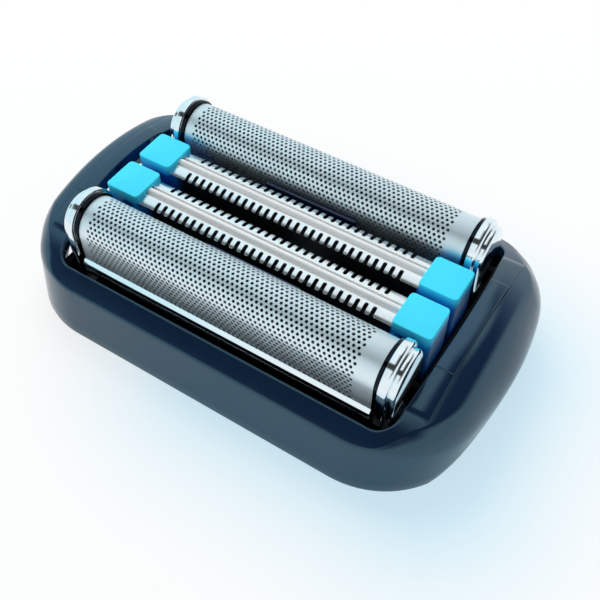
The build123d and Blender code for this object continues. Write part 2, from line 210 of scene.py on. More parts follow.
class NodeBench:
    """Adds nodes to one tree, with their settings and sockets."""

    def __init__(self, tree: bpy.types.NodeTree) -> None:
        """Takes the tree to work on."""
        self.tree = tree

    def node(self, kind: str, settings: dict | None = None, sockets: dict | None = None) -> bpy.types.Node:
        """Adds one node.

        Args:
            kind: the node's type.
            settings: properties of the node, set first.
            sockets: values or links for its inputs, by name or place.

        Returns:
            The new node.
        """
        made = self.tree.nodes.new(kind)
        for name, value in (settings or {}).items():
            setattr(made, name, value)
        for name, value in (sockets or {}).items():
            if isinstance(value, Shade):
                value = value.socket
            if isinstance(value, bpy.types.NodeSocket):
                self.tree.links.new(value, made.inputs[name])
            else:
                made.inputs[name].default_value = value
        return made

    def shade(self, made: bpy.types.Node, output: str | int = 0) -> Shade:
        """A node's output, ready for arithmetic."""
        return Shade(self.tree, made.outputs[output])

    def blend(self, amount: Number, first: Tint, second: Tint) -> bpy.types.NodeSocket:
        """Mixes two colours by an amount.

        Args:
            amount: nought for the first colour, one for the second.
            first: a colour or a socket.
            second: a colour or a socket.

        Returns:
            The mix's socket.
        """
        mix = self.node("ShaderNodeMix", {"data_type": "RGBA"}, {"Factor": amount})
        for name, colour in (("A", first), ("B", second)):
            if isinstance(colour, bpy.types.NodeSocket):
                self.tree.links.new(colour, mix.inputs[name])
            else:
                mix.inputs[name].default_value = (*colour, 1.0)
        return mix.outputs["Result"]


class Finish(NodeBench):
    """A procedural material with one Principled shader."""

    def __init__(self, name: str) -> None:
        """Starts a material with only its output node.

        Args:
            name: the material's name.
        """
        self.material = bpy.data.materials.new(name)
        self.material.use_nodes = True
        super().__init__(self.material.node_tree)
        self.tree.nodes.clear()
        self.output = self.tree.nodes.new("ShaderNodeOutputMaterial")
        self.place = self.node("ShaderNodeTexCoord").outputs["Object"]

    def grain(self, per_mm: float, detail: float = 2.0, stretch: Point3 = (1.0, 1.0, 1.0)) -> Shade:
        """Noise over the piece.

        Args:
            per_mm: how many grains to a millimetre.
            detail: the noise's finer layers.
            stretch: how much the pattern is pressed together along each axis.

        Returns:
            The noise, from nought to one.
        """
        mapped = self.node("ShaderNodeMapping", {}, {"Vector": self.place, "Scale": stretch})
        sockets = {"Vector": mapped.outputs[0], "Scale": per_mm / MM, "Detail": detail}
        return self.shade(self.node("ShaderNodeTexNoise", {"noise_dimensions": "3D"}, sockets), "Fac")

    def axis(self, place: int) -> Shade:
        """One part of each point's place on the piece: 0 along, 1 across or 2 up."""
        return self.shade(self.node("ShaderNodeSeparateXYZ", {}, {0: self.place}), place)

    def bump(self, height: Shade, strength: float, depth_mm: float) -> bpy.types.NodeSocket:
        """A Bump node for the Normal socket."""
        sockets = {"Height": height, "Strength": strength, "Distance": depth_mm * MM}
        return self.node("ShaderNodeBump", {}, sockets).outputs["Normal"]

    def surface(self, sockets: dict) -> bpy.types.Material:
        """Closes the material with a Principled shader that has these sockets.

        Args:
            sockets: values or links for the shader's inputs.

        Returns:
            The finished material.
        """
        shader = self.node("ShaderNodeBsdfPrincipled", {}, sockets)
        self.tree.links.new(shader.outputs[0], self.output.inputs["Surface"])
        return self.material


@dataclass(frozen=True)
class MouldedPlastic:
    """A moulded plastic: a colour that drifts a little, a fine skin and, where asked, painted shade that
    darkens it below a height.
    """

    name: str
    colour: Colour
    shadow_colour: Colour
    roughness: float
    roughness_drift: float
    skin_per_mm: float
    skin_depth_mm: float
    specular: float = 0.5
    specular_tint: Colour = (1.0, 1.0, 1.0)
    # Painted shade on the lower sides: its colour, the height where it starts and how far down it deepens.
    side_shade_colour: Colour | None = None
    side_shade_from_mm: float = 0.0
    side_shade_reach_mm: float = 1.0
    drift_per_mm: float = 0.12
    wear_per_mm: float = 0.5
    skin_strength: float = 0.25

    def material(self) -> bpy.types.Material:
        """Builds the material.

        Returns:
            The finished material.
        """
        finish = Finish(self.name)
        drift = finish.grain(self.drift_per_mm, 3.0)
        skin = finish.grain(self.skin_per_mm, 3.0)
        colour = finish.blend(drift, self.shadow_colour, self.colour)
        # Painted shade: below the given height the colour darkens towards the side shade colour, as on the
        # shaded sides of the caps.
        if self.side_shade_colour:
            side_shade = finish.axis(2).ramp(self.side_shade_from_mm * MM, (self.side_shade_from_mm - self.side_shade_reach_mm) * MM)
            colour = finish.blend(side_shade, colour, self.side_shade_colour)
        wear = finish.grain(self.wear_per_mm, 4.0) - 0.5
        sockets = {
            "Base Color": colour,
            "Roughness": self.roughness + self.roughness_drift * wear,
            "Normal": finish.bump(skin, self.skin_strength, self.skin_depth_mm),
            "Specular IOR Level": self.specular,
            "Specular Tint": (*self.specular_tint, 1.0),
        }
        return finish.surface(sockets)


@dataclass(frozen=True)
class BrightMetal:
    """Plating or sheet metal: a tint, fine drawn lines, faint smears and, where asked, a painted shadow band
    at the foil's seat.
    """

    name: str
    tint: Colour
    smear_tint: Colour
    roughness: float
    smear_roughness: float
    line_per_mm: float
    line_depth_mm: float
    line_stretch: Point3 = (0.04, 1.0, 1.0)
    # A painted shadow band across the foil's seat: its colour and its limits along the head.
    seat_shadow_tint: Colour | None = None
    seat_shadow_span_mm: Point2 = (0.0, 0.0)
    smear_per_mm: float = 0.35
    line_strength: float = 0.2

    def material(self) -> bpy.types.Material:
        """Builds the material.

        Returns:
            The finished material.
        """
        finish = Finish(self.name)
        smear = finish.grain(self.smear_per_mm, 4.0)
        lines = finish.grain(self.line_per_mm, 2.0, self.line_stretch)
        colour = finish.blend(smear, self.tint, self.smear_tint)
        # Painted shadow: a dark band between two distances from the middle, where the foil meets the cap.
        if self.seat_shadow_tint:
            along = abs(finish.axis(0))
            seat = along.above(self.seat_shadow_span_mm[0] * MM) - along.above(self.seat_shadow_span_mm[1] * MM)
            colour = finish.blend(seat, colour, self.seat_shadow_tint)
        sockets = {
            "Base Color": colour,
            "Metallic": 1.0,
            "Roughness": self.roughness + self.smear_roughness * smear ** 2.0,
            "Normal": finish.bump(lines, self.line_strength, self.line_depth_mm),
        }
        return finish.surface(sockets)


def loose_object(name: str, mesh: bpy.types.Mesh) -> bpy.types.Object:
    """Puts a mesh into the scene under a name.

    Args:
        name: the piece's name.
        mesh: its mesh, already in place.

    Returns:
        The new object, at the origin.
    """
    made = bpy.data.objects.new(name, mesh)
    bpy.context.scene.collection.objects.link(made)
    return made


def settle(piece: bpy.types.Object) -> None:
    """Turns a piece and its modifiers into one plain mesh.

    Args:
        piece: the piece, which keeps its name.
    """
    graph = bpy.context.evaluated_depsgraph_get()
    graph.update()
    mesh = bpy.data.meshes.new_from_object(piece.evaluated_get(graph), depsgraph=graph)
    piece.modifiers.clear()
    worn = piece.data
    piece.data = mesh
    bpy.data.meshes.remove(worn)


def soften(piece: bpy.types.Object, angle: float = 38.0) -> None:
    """Shades a piece smooth, but for edges sharper than the angle in degrees."""
    piece.data.shade_smooth()
    piece.data.set_sharp_from_angle(angle=math.radians(angle))


def round_edges(piece: bpy.types.Object, width_mm: float, segments: int = 3, angle: float = 40.0) -> None:
    """Rounds the edges of a piece and settles it.

    Args:
        piece: the piece.
        width_mm: the width of the round.
        segments: how many strips make the round.
        angle: edges sharper than this, in degrees, are rounded.
    """
    bevel = piece.modifiers.new("round", "BEVEL")
    bevel.width = width_mm * MM
    bevel.segments = segments
    bevel.limit_method = "ANGLE"
    bevel.angle_limit = math.radians(angle)
    settle(piece)


def absorb(piece: bpy.types.Object, other: bpy.types.Object) -> None:
    """Takes another piece's mesh into a piece, and the other piece away.

    Args:
        piece: the piece that grows.
        other: the piece that goes.
    """
    form = bmesh.new()
    form.from_mesh(piece.data)
    form.from_mesh(other.data)
    form.to_mesh(piece.data)
    form.free()
    bpy.data.objects.remove(other)


def arch_outline(
    x: float, middle: float, radius: float, centre: float, foot: float, steps: int
) -> list[Point3]:
    """A round-topped outline across the head.

    Args:
        x: where along the head it stands.
        middle: the Y of its axis.
        radius: of its round top, and half its width.
        centre: the height of the round's centre.
        foot: the height of its straight lower edge.
        steps: how many straight pieces make the round.

    Returns:
        The outline's points, from its lower edge round the top.
    """
    points = [(x, middle - radius, foot), (x, middle + radius, foot)]
    for step in range(steps + 1):
        angle = math.pi * step / steps
        points.append((x, middle + radius * math.cos(angle), centre + radius * math.sin(angle)))
    return points


class Solid:
    """Gathers closed shells, in millimetres, into one mesh."""

    def __init__(self) -> None:
        """Starts empty."""
        self.form = bmesh.new()

    def prism(self, outline: Sequence[Point3], sweep: Point3) -> None:
        """Adds a closed prism: a flat outline and its copy moved by the sweep.

        Args:
            outline: the points of the flat outline, in order.
            sweep: the move to its copy.
        """
        near = [self.form.verts.new(point) for point in outline]
        far = [self.form.verts.new(Vector(point) + Vector(sweep)) for point in outline]
        count = len(near)
        self.form.faces.new(near)
        self.form.faces.new(list(reversed(far)))
        for first in range(count):
            second = (first + 1) % count
            self.form.faces.new((near[first], far[first], far[second], near[second]))

    def block(self, x_span: Point2, y_span: Point2, z_span: Point2) -> None:
        """Adds a rectangular block between pairs of limits.

        Args:
            x_span: its limits in X.
            y_span: its limits in Y.
            z_span: its limits in Z.
        """
        (front, back), (low, high) = y_span, z_span
        section = ((front, low), (back, low), (back, high), (front, high))
        corners = [(x_span[0], y, z) for y, z in section]
        self.prism(corners, (x_span[1] - x_span[0], 0.0, 0.0))

    def rings(self, rings: Sequence[Sequence[Point3]], closed: bool) -> None:
        """Adds a skin over equal rings of points.

        Args:
            rings: each a closed loop of points.
            closed: whether the last ring joins the first; if not, both ends get a cap.
        """
        made = [[self.form.verts.new(point) for point in ring] for ring in rings]
        pairs = list(zip(made, made[1:] + made[:1] if closed else made[1:]))
        for near, far in pairs:
            for first in range(len(near)):
                second = (first + 1) % len(near)
                self.form.faces.new((near[first], near[second], far[second], far[first]))
        if not closed:
            self.form.faces.new(list(reversed(made[0])))
            self.form.faces.new(made[-1])

    def piece(self, name: str) -> bpy.types.Object:
        """Closes the gathering into a named piece, with its faces turned outwards, in metres.

        Args:
            name: the piece's name.

        Returns:
            The new piece, at the origin.
        """
        bmesh.ops.recalc_face_normals(self.form, faces=self.form.faces[:])
        bmesh.ops.scale(self.form, vec=(MM, MM, MM), verts=self.form.verts[:])
        mesh = bpy.data.meshes.new(name)
        self.form.to_mesh(mesh)
        self.form.free()
        return loose_object(name, mesh)


def dress(piece: bpy.types.Object, material: bpy.types.Material, body: str, slot: Slot, *nodes: str) -> None:
    """Gives a finished piece its material and body, and hides the CAD nodes that it stands for.

    Args:
        piece: the finished piece.
        material: its finish, unless its tree has set one.
        body: the moving body that it rides on.
        slot: its material slot; not used.
        nodes: the CAD nodes that it replaces, if any.
    """
    if not piece.data.materials:
        piece.data.materials.append(material)
    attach(piece, body)
    if nodes:
        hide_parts(*nodes)
    LOG.info("%s: %d faces on %s", piece.name, len(piece.data.polygons), body)


class PatternTree(NodeBench):
    """A Geometry Nodes tree that repeats or bends a piece's own mesh, with named size inputs."""

    def __init__(self, name: str, sizes: dict[str, float]) -> None:
        """Makes the tree's sockets from the named sizes.

        Args:
            name: the tree's name.
            sizes: its size inputs, in metres, by label.
        """
        super().__init__(bpy.data.node_groups.new(name, "GeometryNodeTree"))
        self.sizes = sizes
        face = self.tree.interface
        face.new_socket("Geometry", in_out="INPUT", socket_type="NodeSocketGeometry")
        self.keys = {}
        for label in sizes:
            socket = face.new_socket(label, in_out="INPUT", socket_type="NodeSocketFloat")
            self.keys[label] = socket.identifier
        face.new_socket("Geometry", in_out="OUTPUT", socket_type="NodeSocketGeometry")
        self.entry = self.tree.nodes.new("NodeGroupInput")
        self.exit = self.tree.nodes.new("NodeGroupOutput")

    def size(self, label: str) -> Shade:
        """One of the named sizes."""
        return self.shade(self.entry, label)

    def axes(self) -> tuple[Shade, Shade, Shade]:
        """The three parts of each point's place.

        Returns:
            X, Y and Z.
        """
        place = self.node("GeometryNodeInputPosition").outputs[0]
        split = self.node("ShaderNodeSeparateXYZ", {}, {0: place})
        return self.shade(split, 0), self.shade(split, 1), self.shade(split, 2)

    def move(self, geometry: bpy.types.NodeSocket, x: Number, y: Number, z: Number) -> bpy.types.NodeSocket:
        """Puts every point at the given place.

        Args:
            geometry: what is moved.
            x: each point's new X.
            y: its new Y.
            z: its new Z.

        Returns:
            The moved geometry.
        """
        place = self.node("ShaderNodeCombineXYZ", {}, {0: x, 1: y, 2: z})
        sockets = {"Geometry": geometry, "Position": place.outputs[0]}
        return self.node("GeometryNodeSetPosition", {}, sockets).outputs[0]

    def join(self, *parts: bpy.types.NodeSocket) -> bpy.types.NodeSocket:
        """Joins geometries into one.

        Args:
            parts: the geometries, in order.

        Returns:
            The joined geometry.
        """
        joined = self.node("GeometryNodeJoinGeometry")
        for part in parts:
            self.tree.links.new(part, joined.inputs[0])
        return joined.outputs[0]

    def row(self, count: int, pitch: Shade) -> bpy.types.NodeSocket:
        """Repeats the piece's own mesh in a row along X, centred on its place.

        Args:
            count: how many copies.
            pitch: their spacing.

        Returns:
            The copies, as instances.
        """
        line = self.node("GeometryNodeMeshLine", {"mode": "OFFSET"}, {"Count": count, "Offset": (0, 0, 0)})
        index = self.shade(self.node("GeometryNodeInputIndex"))
        laid = self.move(line.outputs[0], (index - (count - 1) / 2) * pitch, 0.0, 0.0)
        sockets = {"Points": laid, "Instance": self.entry.outputs[0]}
        return self.node("GeometryNodeInstanceOnPoints", {}, sockets).outputs[0]

    def close(self, geometry: bpy.types.NodeSocket, material: bpy.types.Material) -> None:
        """Ends the tree with real geometry in a material.

        Args:
            geometry: the finished pattern.
            material: its finish.
        """
        real = self.node("GeometryNodeRealizeInstances", {}, {"Geometry": geometry})
        sockets = {"Geometry": real.outputs[0], "Material": material}
        dressed = self.node("GeometryNodeSetMaterial", {}, sockets)
        self.tree.links.new(dressed.outputs[0], self.exit.inputs[0])

    def weld(self, geometry: bpy.types.NodeSocket, reach_mm: float) -> bpy.types.NodeSocket:
        """Realises instances and joins points that lie closer than the reach.

        Args:
            geometry: the pattern.
            reach_mm: the reach.

        Returns:
            The welded geometry.
        """
        real = self.node("GeometryNodeRealizeInstances", {}, {"Geometry": geometry})
        sockets = {"Geometry": real.outputs[0], "Distance": reach_mm * MM}
        return self.node("GeometryNodeMergeByDistance", {}, sockets).outputs[0]

    def put_on(self, piece: bpy.types.Object) -> None:
        """Adds the tree to a piece as a modifier, with its sizes set.

        Args:
            piece: the piece whose mesh is repeated.
        """
        modifier = piece.modifiers.new(self.tree.name, "NODES")
        modifier.node_group = self.tree
        for label, value in self.sizes.items():
            modifier[self.keys[label]] = value


def thicken(piece: bpy.types.Object, sheet_mm: float) -> None:
    """Gives a sheet its thickness, inwards from its faces, and settles it.

    Args:
        piece: the sheet.
        sheet_mm: its thickness.
    """
    wall = piece.modifiers.new("sheet", "SOLIDIFY")
    wall.thickness = sheet_mm * MM
    wall.offset = -1.0
    settle(piece)


@dataclass
class FrameShell:
    """The moulded frame: drafted walls, an arched top with round shoulders, and raised end ledges."""

    base_half_length: float = 28.8
    base_half_width: float = 18.0
    end_draft: float = 2.0
    side_draft: float = 12.5
    end_radius: float = 42.0
    corner_radius: float = 11.0
    crown_height: float = 10.7
    crown_radius: float = 32.6
    mould_height: float = 10.95
    shoulder_start: float = 24.3
    shoulder_radius: float = 5.4
    side_brow: float = 0.2
    end_brow: float = 3.0
    brow_start: float = 20.5
    brow_full: float = 26.5
    brow_top_share: float = 0.55
    brow_wall_share: float = 0.8
    arch_height: float = 5.0
    arch_half_span: float = 13.0
    opening_half_length: float = 22.4
    opening_half_width: float = 14.4
    opening_end_radius: float = 89.0
    opening_corner: float = 2.2
    cavity_half_length: float = 26.9
    cavity_half_width: float = 15.4
    cavity_corner: float = 9.1
    roof_wall: float = 1.3
    rim_round: float = 0.3
    foot_round: float = 0.35
    ledge_rise: float = 0.25
    ledge_half_span: float = 12.6
    pad_rise: float = 0.15
    pad_half_span: float = 6.6
    ledge_round: float = 0.12
    ledge_run_out: float = 1.2
    ledge_sink: float = 0.3
    ledge_setback: float = 0.03
    ledge_depth: float = 0.75
    bead_half_length: float = 4.5
    bead_reach: float = 0.45
    bead_height: float = 0.6
    deck_bottom: float = 0.8
    side_steps: int = 8
    corner_steps: int = 18
    end_steps: int = 20
    ledge_steps: int = 48
    foot_steps: int = 3
    wall_steps: int = 5
    brow_steps: int = 9
    top_steps: int = 12
    rim_steps: int = 4
    roof_steps: int = 5
    search_steps: int = 40

    def plan(self, half_length: float, half_width: float, arc: float, corner: float) -> list[Point2]:
        """A plan outline with straight sides, arced ends and rounded corners.

        Args:
            half_length: half the length at the middle of the ends.
            half_width: half the width.
            arc: the radius of the ends.
            corner: the radius of the corners.

        Returns:
            Points once round, the same count for every outline.
        """
        arc_x = half_length - arc
        corner_y = half_width - corner
        corner_x = arc_x + math.sqrt((arc - corner) ** 2 - corner_y**2)
        turn = math.atan2(corner_y, corner_x - arc_x)
        quarter = [(corner_x * step / self.side_steps, -half_width) for step in range(self.side_steps)]
        for step in range(self.corner_steps):
            angle = -math.pi / 2 + (math.pi / 2 - turn) * step / self.corner_steps
            quarter.append((corner_x + corner * math.cos(angle), corner * math.sin(angle) - corner_y))
        for step in range(self.end_steps + 1):
            angle = turn * (step / self.end_steps - 1)
            quarter.append((arc_x + arc * math.cos(angle), arc * math.sin(angle)))
        right = quarter + [(x, -y) for x, y in reversed(quarter[:-1])]
        left = [(-x, -y) for x, y in right]
        return right[:-1] + left[:-1]

    def top(self, x: float, y: float, sunk: float = 0.0) -> float:
        """The height of the arched top over a place, or of the arch sunk below it.

        Args:
            x: the place along the head.
            y: the place across it.
            sunk: how far below the outer face.

        Returns:
            The height.
        """
        shoulder = self.shoulder_radius - sunk
        reach = max(abs(x) - self.shoulder_start, 0.0)
        fall = shoulder - math.sqrt(max(shoulder**2 - reach**2, 0.0))
        radius = self.crown_radius - sunk - fall
        return self.crown_height - self.crown_radius + math.sqrt(radius**2 - y**2)

    def roof(self, x: float, y: float) -> float:
        """The height of the hollow's ceiling."""
        return self.top(x, y, self.roof_wall)

    def lift(self, x: float, y: float) -> float:
        """How high the lower edge is lifted by the arch under each end.

        Args:
            x: the place along the head.
            y: the place across it.

        Returns:
            The lift.
        """
        if abs(x) < self.shoulder_start:
            return 0.0
        return self.arch_height * max(1 - (y / self.arch_half_span) ** 2, 0.0)

    def brow_size(self, x: float) -> float:
        """The reach of the rounded brow, which grows from the long sides towards the ends."""
        share = min(max((abs(x) - self.brow_start) / (self.brow_full - self.brow_start), 0.0), 1.0)
        return self.side_brow + (self.end_brow - self.side_brow) * share**2 * (3 - 2 * share)

    @staticmethod
    def round_corner(start: Vector, corner: Vector, end: Vector, steps: int) -> list[Vector]:
        """Points of a round that leaves start and reaches end, bending at the corner.

        Args:
            start: where the round starts.
            corner: where its two sides would meet.
            end: where it ends.
            steps: how many straight pieces make it.

        Returns:
            The round's points, both ends too.
        """
        first = (start - corner).normalized()
        second = (end - corner).normalized()
        weight = math.sin(first.angle(second) / 2)
        points = []
        for step in range(steps + 1):
            s = step / steps
            parts = ((1 - s) ** 2, 2 * weight * s * (1 - s), s**2)
            points.append((start * parts[0] + corner * parts[1] + end * parts[2]) / sum(parts))
        return points

    def over(self, brow: Vector, edge: Vector, share: float) -> Vector:
        """A point of the arched top, a share of the way from the brow to the opening's edge."""
        spot = brow.lerp(edge, share)
        return Vector((spot.x, spot.y, self.top(spot.x, spot.y)))

    def meet(self, ground: Vector, rise: Vector) -> Vector:
        """Where a drafted wall that rises from the ground meets the arched top, found by halving.

        Args:
            ground: the wall's foot.
            rise: the wall, from its foot to its brim.

        Returns:
            The meeting point.
        """
        low, high = 0.0, 1.0
        for _ in range(self.search_steps):
            share = (low + high) / 2
            spot = ground + rise * share
            if self.top(spot.x, spot.y) > spot.z:
                low = share
            else:
                high = share
        return ground + rise * low

    def profile(self, foot: Point2, brim: Point2, opening: Point2, cavity: Point2) -> list[Vector]:
        """One ring across the moulding, from the foot over the top and back through the hollow.

        Args:
            foot: the outline's point at the base.
            brim: the outline's point at the mould's height.
            opening: the opening's point.
            cavity: the hollow's point.

        Returns:
            The ring's points.
        """
        ground = Vector((*foot, 0.0))
        rise = Vector((*brim, self.mould_height)) - ground
        up = rise.normalized()
        low = ground + rise * (self.lift(*foot) / self.mould_height)
        brow = self.meet(ground, rise)
        edge = Vector((*opening, self.top(*opening)))
        width = (brow - edge).length
        setback = min(self.brow_size(brow.x), self.brow_top_share * width)
        first, last = setback / width, 1 - self.rim_round / width
        outer = brow - up * min(setback, self.brow_wall_share * (brow.z - low.z))
        inside = Vector((*cavity, self.lift(*foot)))
        under = (low - inside).normalized()
        points = self.round_corner(
            low - under * self.foot_round, low, low + up * self.foot_round, self.foot_steps)
        start = points[-1]
        points += [start.lerp(outer, step / self.wall_steps) for step in range(1, self.wall_steps)]
        points += self.round_corner(outer, brow, self.over(brow, edge, first), self.brow_steps)
        for step in range(1, self.top_steps):
            points.append(self.over(brow, edge, first + (last - first) * step / self.top_steps))
        rim = self.over(brow, edge, last)
        points += self.round_corner(rim, edge, edge - Vector((0, 0, self.rim_round)), self.rim_steps)
        lip = Vector((*opening, self.roof(*opening)))
        points += [points[-1].lerp(lip, 0.5), lip]
        wall_top = Vector((*cavity, self.roof(*cavity)))
        for step in range(1, self.roof_steps + 1):
            spot = lip.lerp(wall_top, step / self.roof_steps)
            points.append(Vector((spot.x, spot.y, self.roof(spot.x, spot.y))))
        points += [wall_top.lerp(inside, 0.5), inside]
        return points

    def shell(self) -> bpy.types.Object:
        """The moulding without its ledges.

        Returns:
            The piece.
        """
        foot = self.plan(self.base_half_length, self.base_half_width, self.end_radius, self.corner_radius)
        brim_length = self.base_half_length + self.mould_height * math.tan(math.radians(self.end_draft))
        brim_width = self.base_half_width - self.mould_height * math.tan(math.radians(self.side_draft))
        brim = self.plan(brim_length, brim_width, self.end_radius, self.corner_radius)
        opening = self.plan(
            self.opening_half_length, self.opening_half_width, self.opening_end_radius, self.opening_corner)
        cavity = self.plan(
            self.cavity_half_length, self.cavity_half_width, self.end_radius, self.cavity_corner)
        solid = Solid()
        solid.rings([self.profile(*places) for places in zip(foot, brim, opening, cavity)], closed=True)
        for side in Side:
            root = side.value * (self.cavity_half_width + self.rim_round)
            nose = side.value * (self.cavity_half_width - self.bead_reach)
            low, high = self.deck_bottom - self.bead_height, self.deck_bottom
            bead = [(-self.bead_half_length, y, z) for y, z in ((root, low), (nose, high), (root, high))]
            solid.prism(bead, (2 * self.bead_half_length, 0.0, 0.0))
        return solid.piece("frame_shell")

    def ledge(self, end: End, half_span: float, rise: float, name: str) -> bpy.types.Object:
        """A raised slab on the arched top at one end of the opening.

        Args:
            end: the end that it is at.
            half_span: half its reach across the head.
            rise: its height over the top.
            name: the piece's name.

        Returns:
            The piece.
        """
        solid = Solid()
        rings = []
        for step in range(self.ledge_steps + 1):
            y = half_span * (2 * step / self.ledge_steps - 1)
            inner = self.opening_half_length - self.opening_end_radius
            inner += math.sqrt(self.opening_end_radius**2 - y**2)
            near, far = end.value * (inner + self.ledge_setback), end.value * self.shoulder_start
            base = self.top(0.0, y)
            run_out = min((self.ledge_half_span - abs(y)) / self.ledge_run_out, 1.0)
            low = base - self.ledge_depth
            high = base + (rise + self.ledge_sink) * run_out - self.ledge_sink
            rings.append(((near, y, low), (far, y, low), (far, y, high), (near, y, high)))
        solid.rings(rings, closed=False)
        piece = solid.piece(name)
        round_edges(piece, self.ledge_round, angle=50.0)
        return piece

    def build(self, material: bpy.types.Material) -> None:
        """Builds the frame and dresses it.

        Args:
            material: the frame's finish.
        """
        shell = self.shell()
        soften(shell)
        dress(shell, material, "housing", Slot.FRAME, "frame")
        for end in End:
            for half_span, rise, word in (
                (self.ledge_half_span, self.ledge_rise, "ledge"),
                (self.pad_half_span, self.ledge_rise + self.pad_rise, "pad"),
            ):
                piece = self.ledge(end, half_span, rise, f"frame_{end.word}_{word}")
                soften(piece)
                dress(piece, material, "housing", Slot.FRAME)


@dataclass
class LongUnit:
    """A unit that lies along the head, on one side of its middle."""

    side: Side
    axis: float

    @property
    def middle(self) -> float:
        """The Y of the unit's axis."""
        return self.side.value * self.axis

    def band(self, half_width: float) -> Point2:
        """The limits in Y of a strip centred on the unit."""
        return self.middle - half_width, self.middle + half_width


@dataclass
class FoilUnit(LongUnit):
    """One floating foil: a plated carrier, a perforated arch and a clip on its inner rail."""

    axis: float = 9.5
    foil_length: float = 37.2
    foil_radius: float = 3.05
    foil_sheet: float = 0.16
    foil_centre: float = 10.7
    foil_foot: float = 6.3
    cell_pitch: float = 0.59
    hole_share: float = 0.6
    rows: int = 36
    columns: int = 64
    left_margin: float = 1.3
    right_margin: float = 2.3
    carrier_half_width: float = 3.5
    carrier_top: float = 14.35
    cap_band: float = 1.5
    cap_round: float = 0.35
    round_steps: int = 6
    seat_length: float = 0.5
    seat_depth: float = 0.3
    rail_bottom: float = 5.7
    rail_top: float = 7.4
    rail_thickness: float = 0.4
    rail_slope: float = 0.45
    rail_lip: float = 0.05
    groove_rise: float = 0.45
    groove: float = 0.15
    shelf_length: float = 2.6
    shelf_thickness: float = 0.6
    leg_half_width: float = 3.1
    leg_top: float = 13.7
    leg_bottom: float = 3.4
    leg_thickness: float = 0.75
    toe_half_width: float = 1.2
    toe_reach: float = 0.6
    toe_height: float = 0.8
    clip_half_length: float = 6.0
    clip_thickness: float = 0.4
    clip_top: float = 10.7
    clip_hook: float = 0.3
    clip_round: float = 0.09
    edge_round: float = 0.1
    hole_corner: float = 1.08
    weld_reach: float = 0.0295
    arch_steps: int = 40

    def arch(self, x: float, half_width: float, top: float, bottom: float) -> list[Point3]:
        """A round-topped outline across the foil at one x."""
        return arch_outline(x, self.middle, half_width, top - half_width, bottom, self.arch_steps)

    def rails(self, solid: Solid) -> None:
        """Adds the two long rails, each with a groove in its side and a sloped top.

        Args:
            solid: the gathering that takes them.
        """
        half = self.foil_length / 2
        groove_z = self.rail_bottom + self.groove_rise
        for face in (-1, 1):
            outer = self.middle + face * self.carrier_half_width
            inner = outer - face * self.rail_thickness
            cut = outer - face * self.groove
            section = (
                (outer, self.rail_bottom),
                (outer, groove_z),
                (cut, groove_z),
                (cut, groove_z + self.groove),
                (outer, groove_z + self.groove),
                (outer, self.rail_top - self.rail_slope),
                (inner + face * self.rail_lip, self.rail_top),
                (inner, self.rail_top),
                (inner, self.rail_bottom),
            )
            outline = [(-half, y, z) for y, z in section]
            solid.prism(outline, (2 * half, 0.0, 0.0))

    def cap_and_leg(self, solid: Solid, end: End) -> None:
        """Adds one end: the arched cap with its seat for the foil, the leg, the shelf and the stop toe.

        Args:
            solid: the gathering that takes them.
            end: the end that they are at.
        """
        half = self.foil_length / 2
        inner_x = end.value * half
        leg_x = inner_x + end.value * self.cap_band
        brink = inner_x + end.value * self.seat_length
        low, dip = self.carrier_half_width - self.seat_depth, self.carrier_top - self.seat_depth
        seat = [self.arch(x, low, dip, self.rail_bottom) for x in (inner_x, brink)]
        seat.append(self.arch(brink, self.carrier_half_width, self.carrier_top, self.rail_bottom))
        back = [self.arch(leg_x, self.leg_half_width, self.leg_top, self.leg_bottom)]
        for rings, start, reach, half_width, top, bottom in (
            (seat, inner_x, self.cap_band, self.carrier_half_width, self.carrier_top, self.rail_bottom),
            (back, leg_x, self.leg_thickness, self.leg_half_width, self.leg_top, self.leg_bottom),
        ):
            for step in range(self.round_steps + 1):
                angle = math.pi / 2 * step / self.round_steps
                x = start + end.value * (reach - self.cap_round * (1 - math.sin(angle)))
                inset = self.cap_round * (1 - math.cos(angle))
                rings.append(self.arch(x, half_width - inset, top - inset, bottom))
            solid.rings(rings, closed=False)
        trough = self.band(self.carrier_half_width - self.rail_thickness)
        shelf_z = (self.rail_bottom, self.rail_bottom + self.shelf_thickness)
        solid.block(end.span(half, half - self.shelf_length), trough, shelf_z)
        face = half + self.cap_band + self.leg_thickness
        toe_z = (self.leg_bottom, self.leg_bottom + self.toe_height)
        solid.block(end.span(face, face + self.toe_reach), self.band(self.toe_half_width), toe_z)

    def carrier(self) -> bpy.types.Object:
        """The plated frame: rails, arched caps, legs, shelves and stop toes.

        Returns:
            The piece.
        """
        solid = Solid()
        self.rails(solid)
        for end in End:
            self.cap_and_leg(solid, end)
        piece = solid.piece(f"{self.side.word}_carrier_plated")
        round_edges(piece, self.edge_round, angle=50.0)
        soften(piece, 30.0)
        return piece

    def hole_cell(self) -> bpy.types.Mesh:
        """One six-sided cell of the perforation, a ring round its hole, of unit pitch.

        Returns:
            The cell, flat, with its centre at the origin.
        """
        outer_radius = 1 / math.sqrt(3)
        inner_radius = self.hole_share / 2 * self.hole_corner
        points = []
        for radius in (outer_radius, inner_radius):
            for corner in range(6):
                angle = math.radians(30 + 60 * corner)
                points.append((radius * math.cos(angle), radius * math.sin(angle), 0.0))
        faces = [(corner, (corner + 1) % 6, (corner + 1) % 6 + 6, corner + 6) for corner in range(6)]
        mesh = bpy.data.meshes.new("foil_cell")
        mesh.from_pydata(points, [], faces)
        return mesh

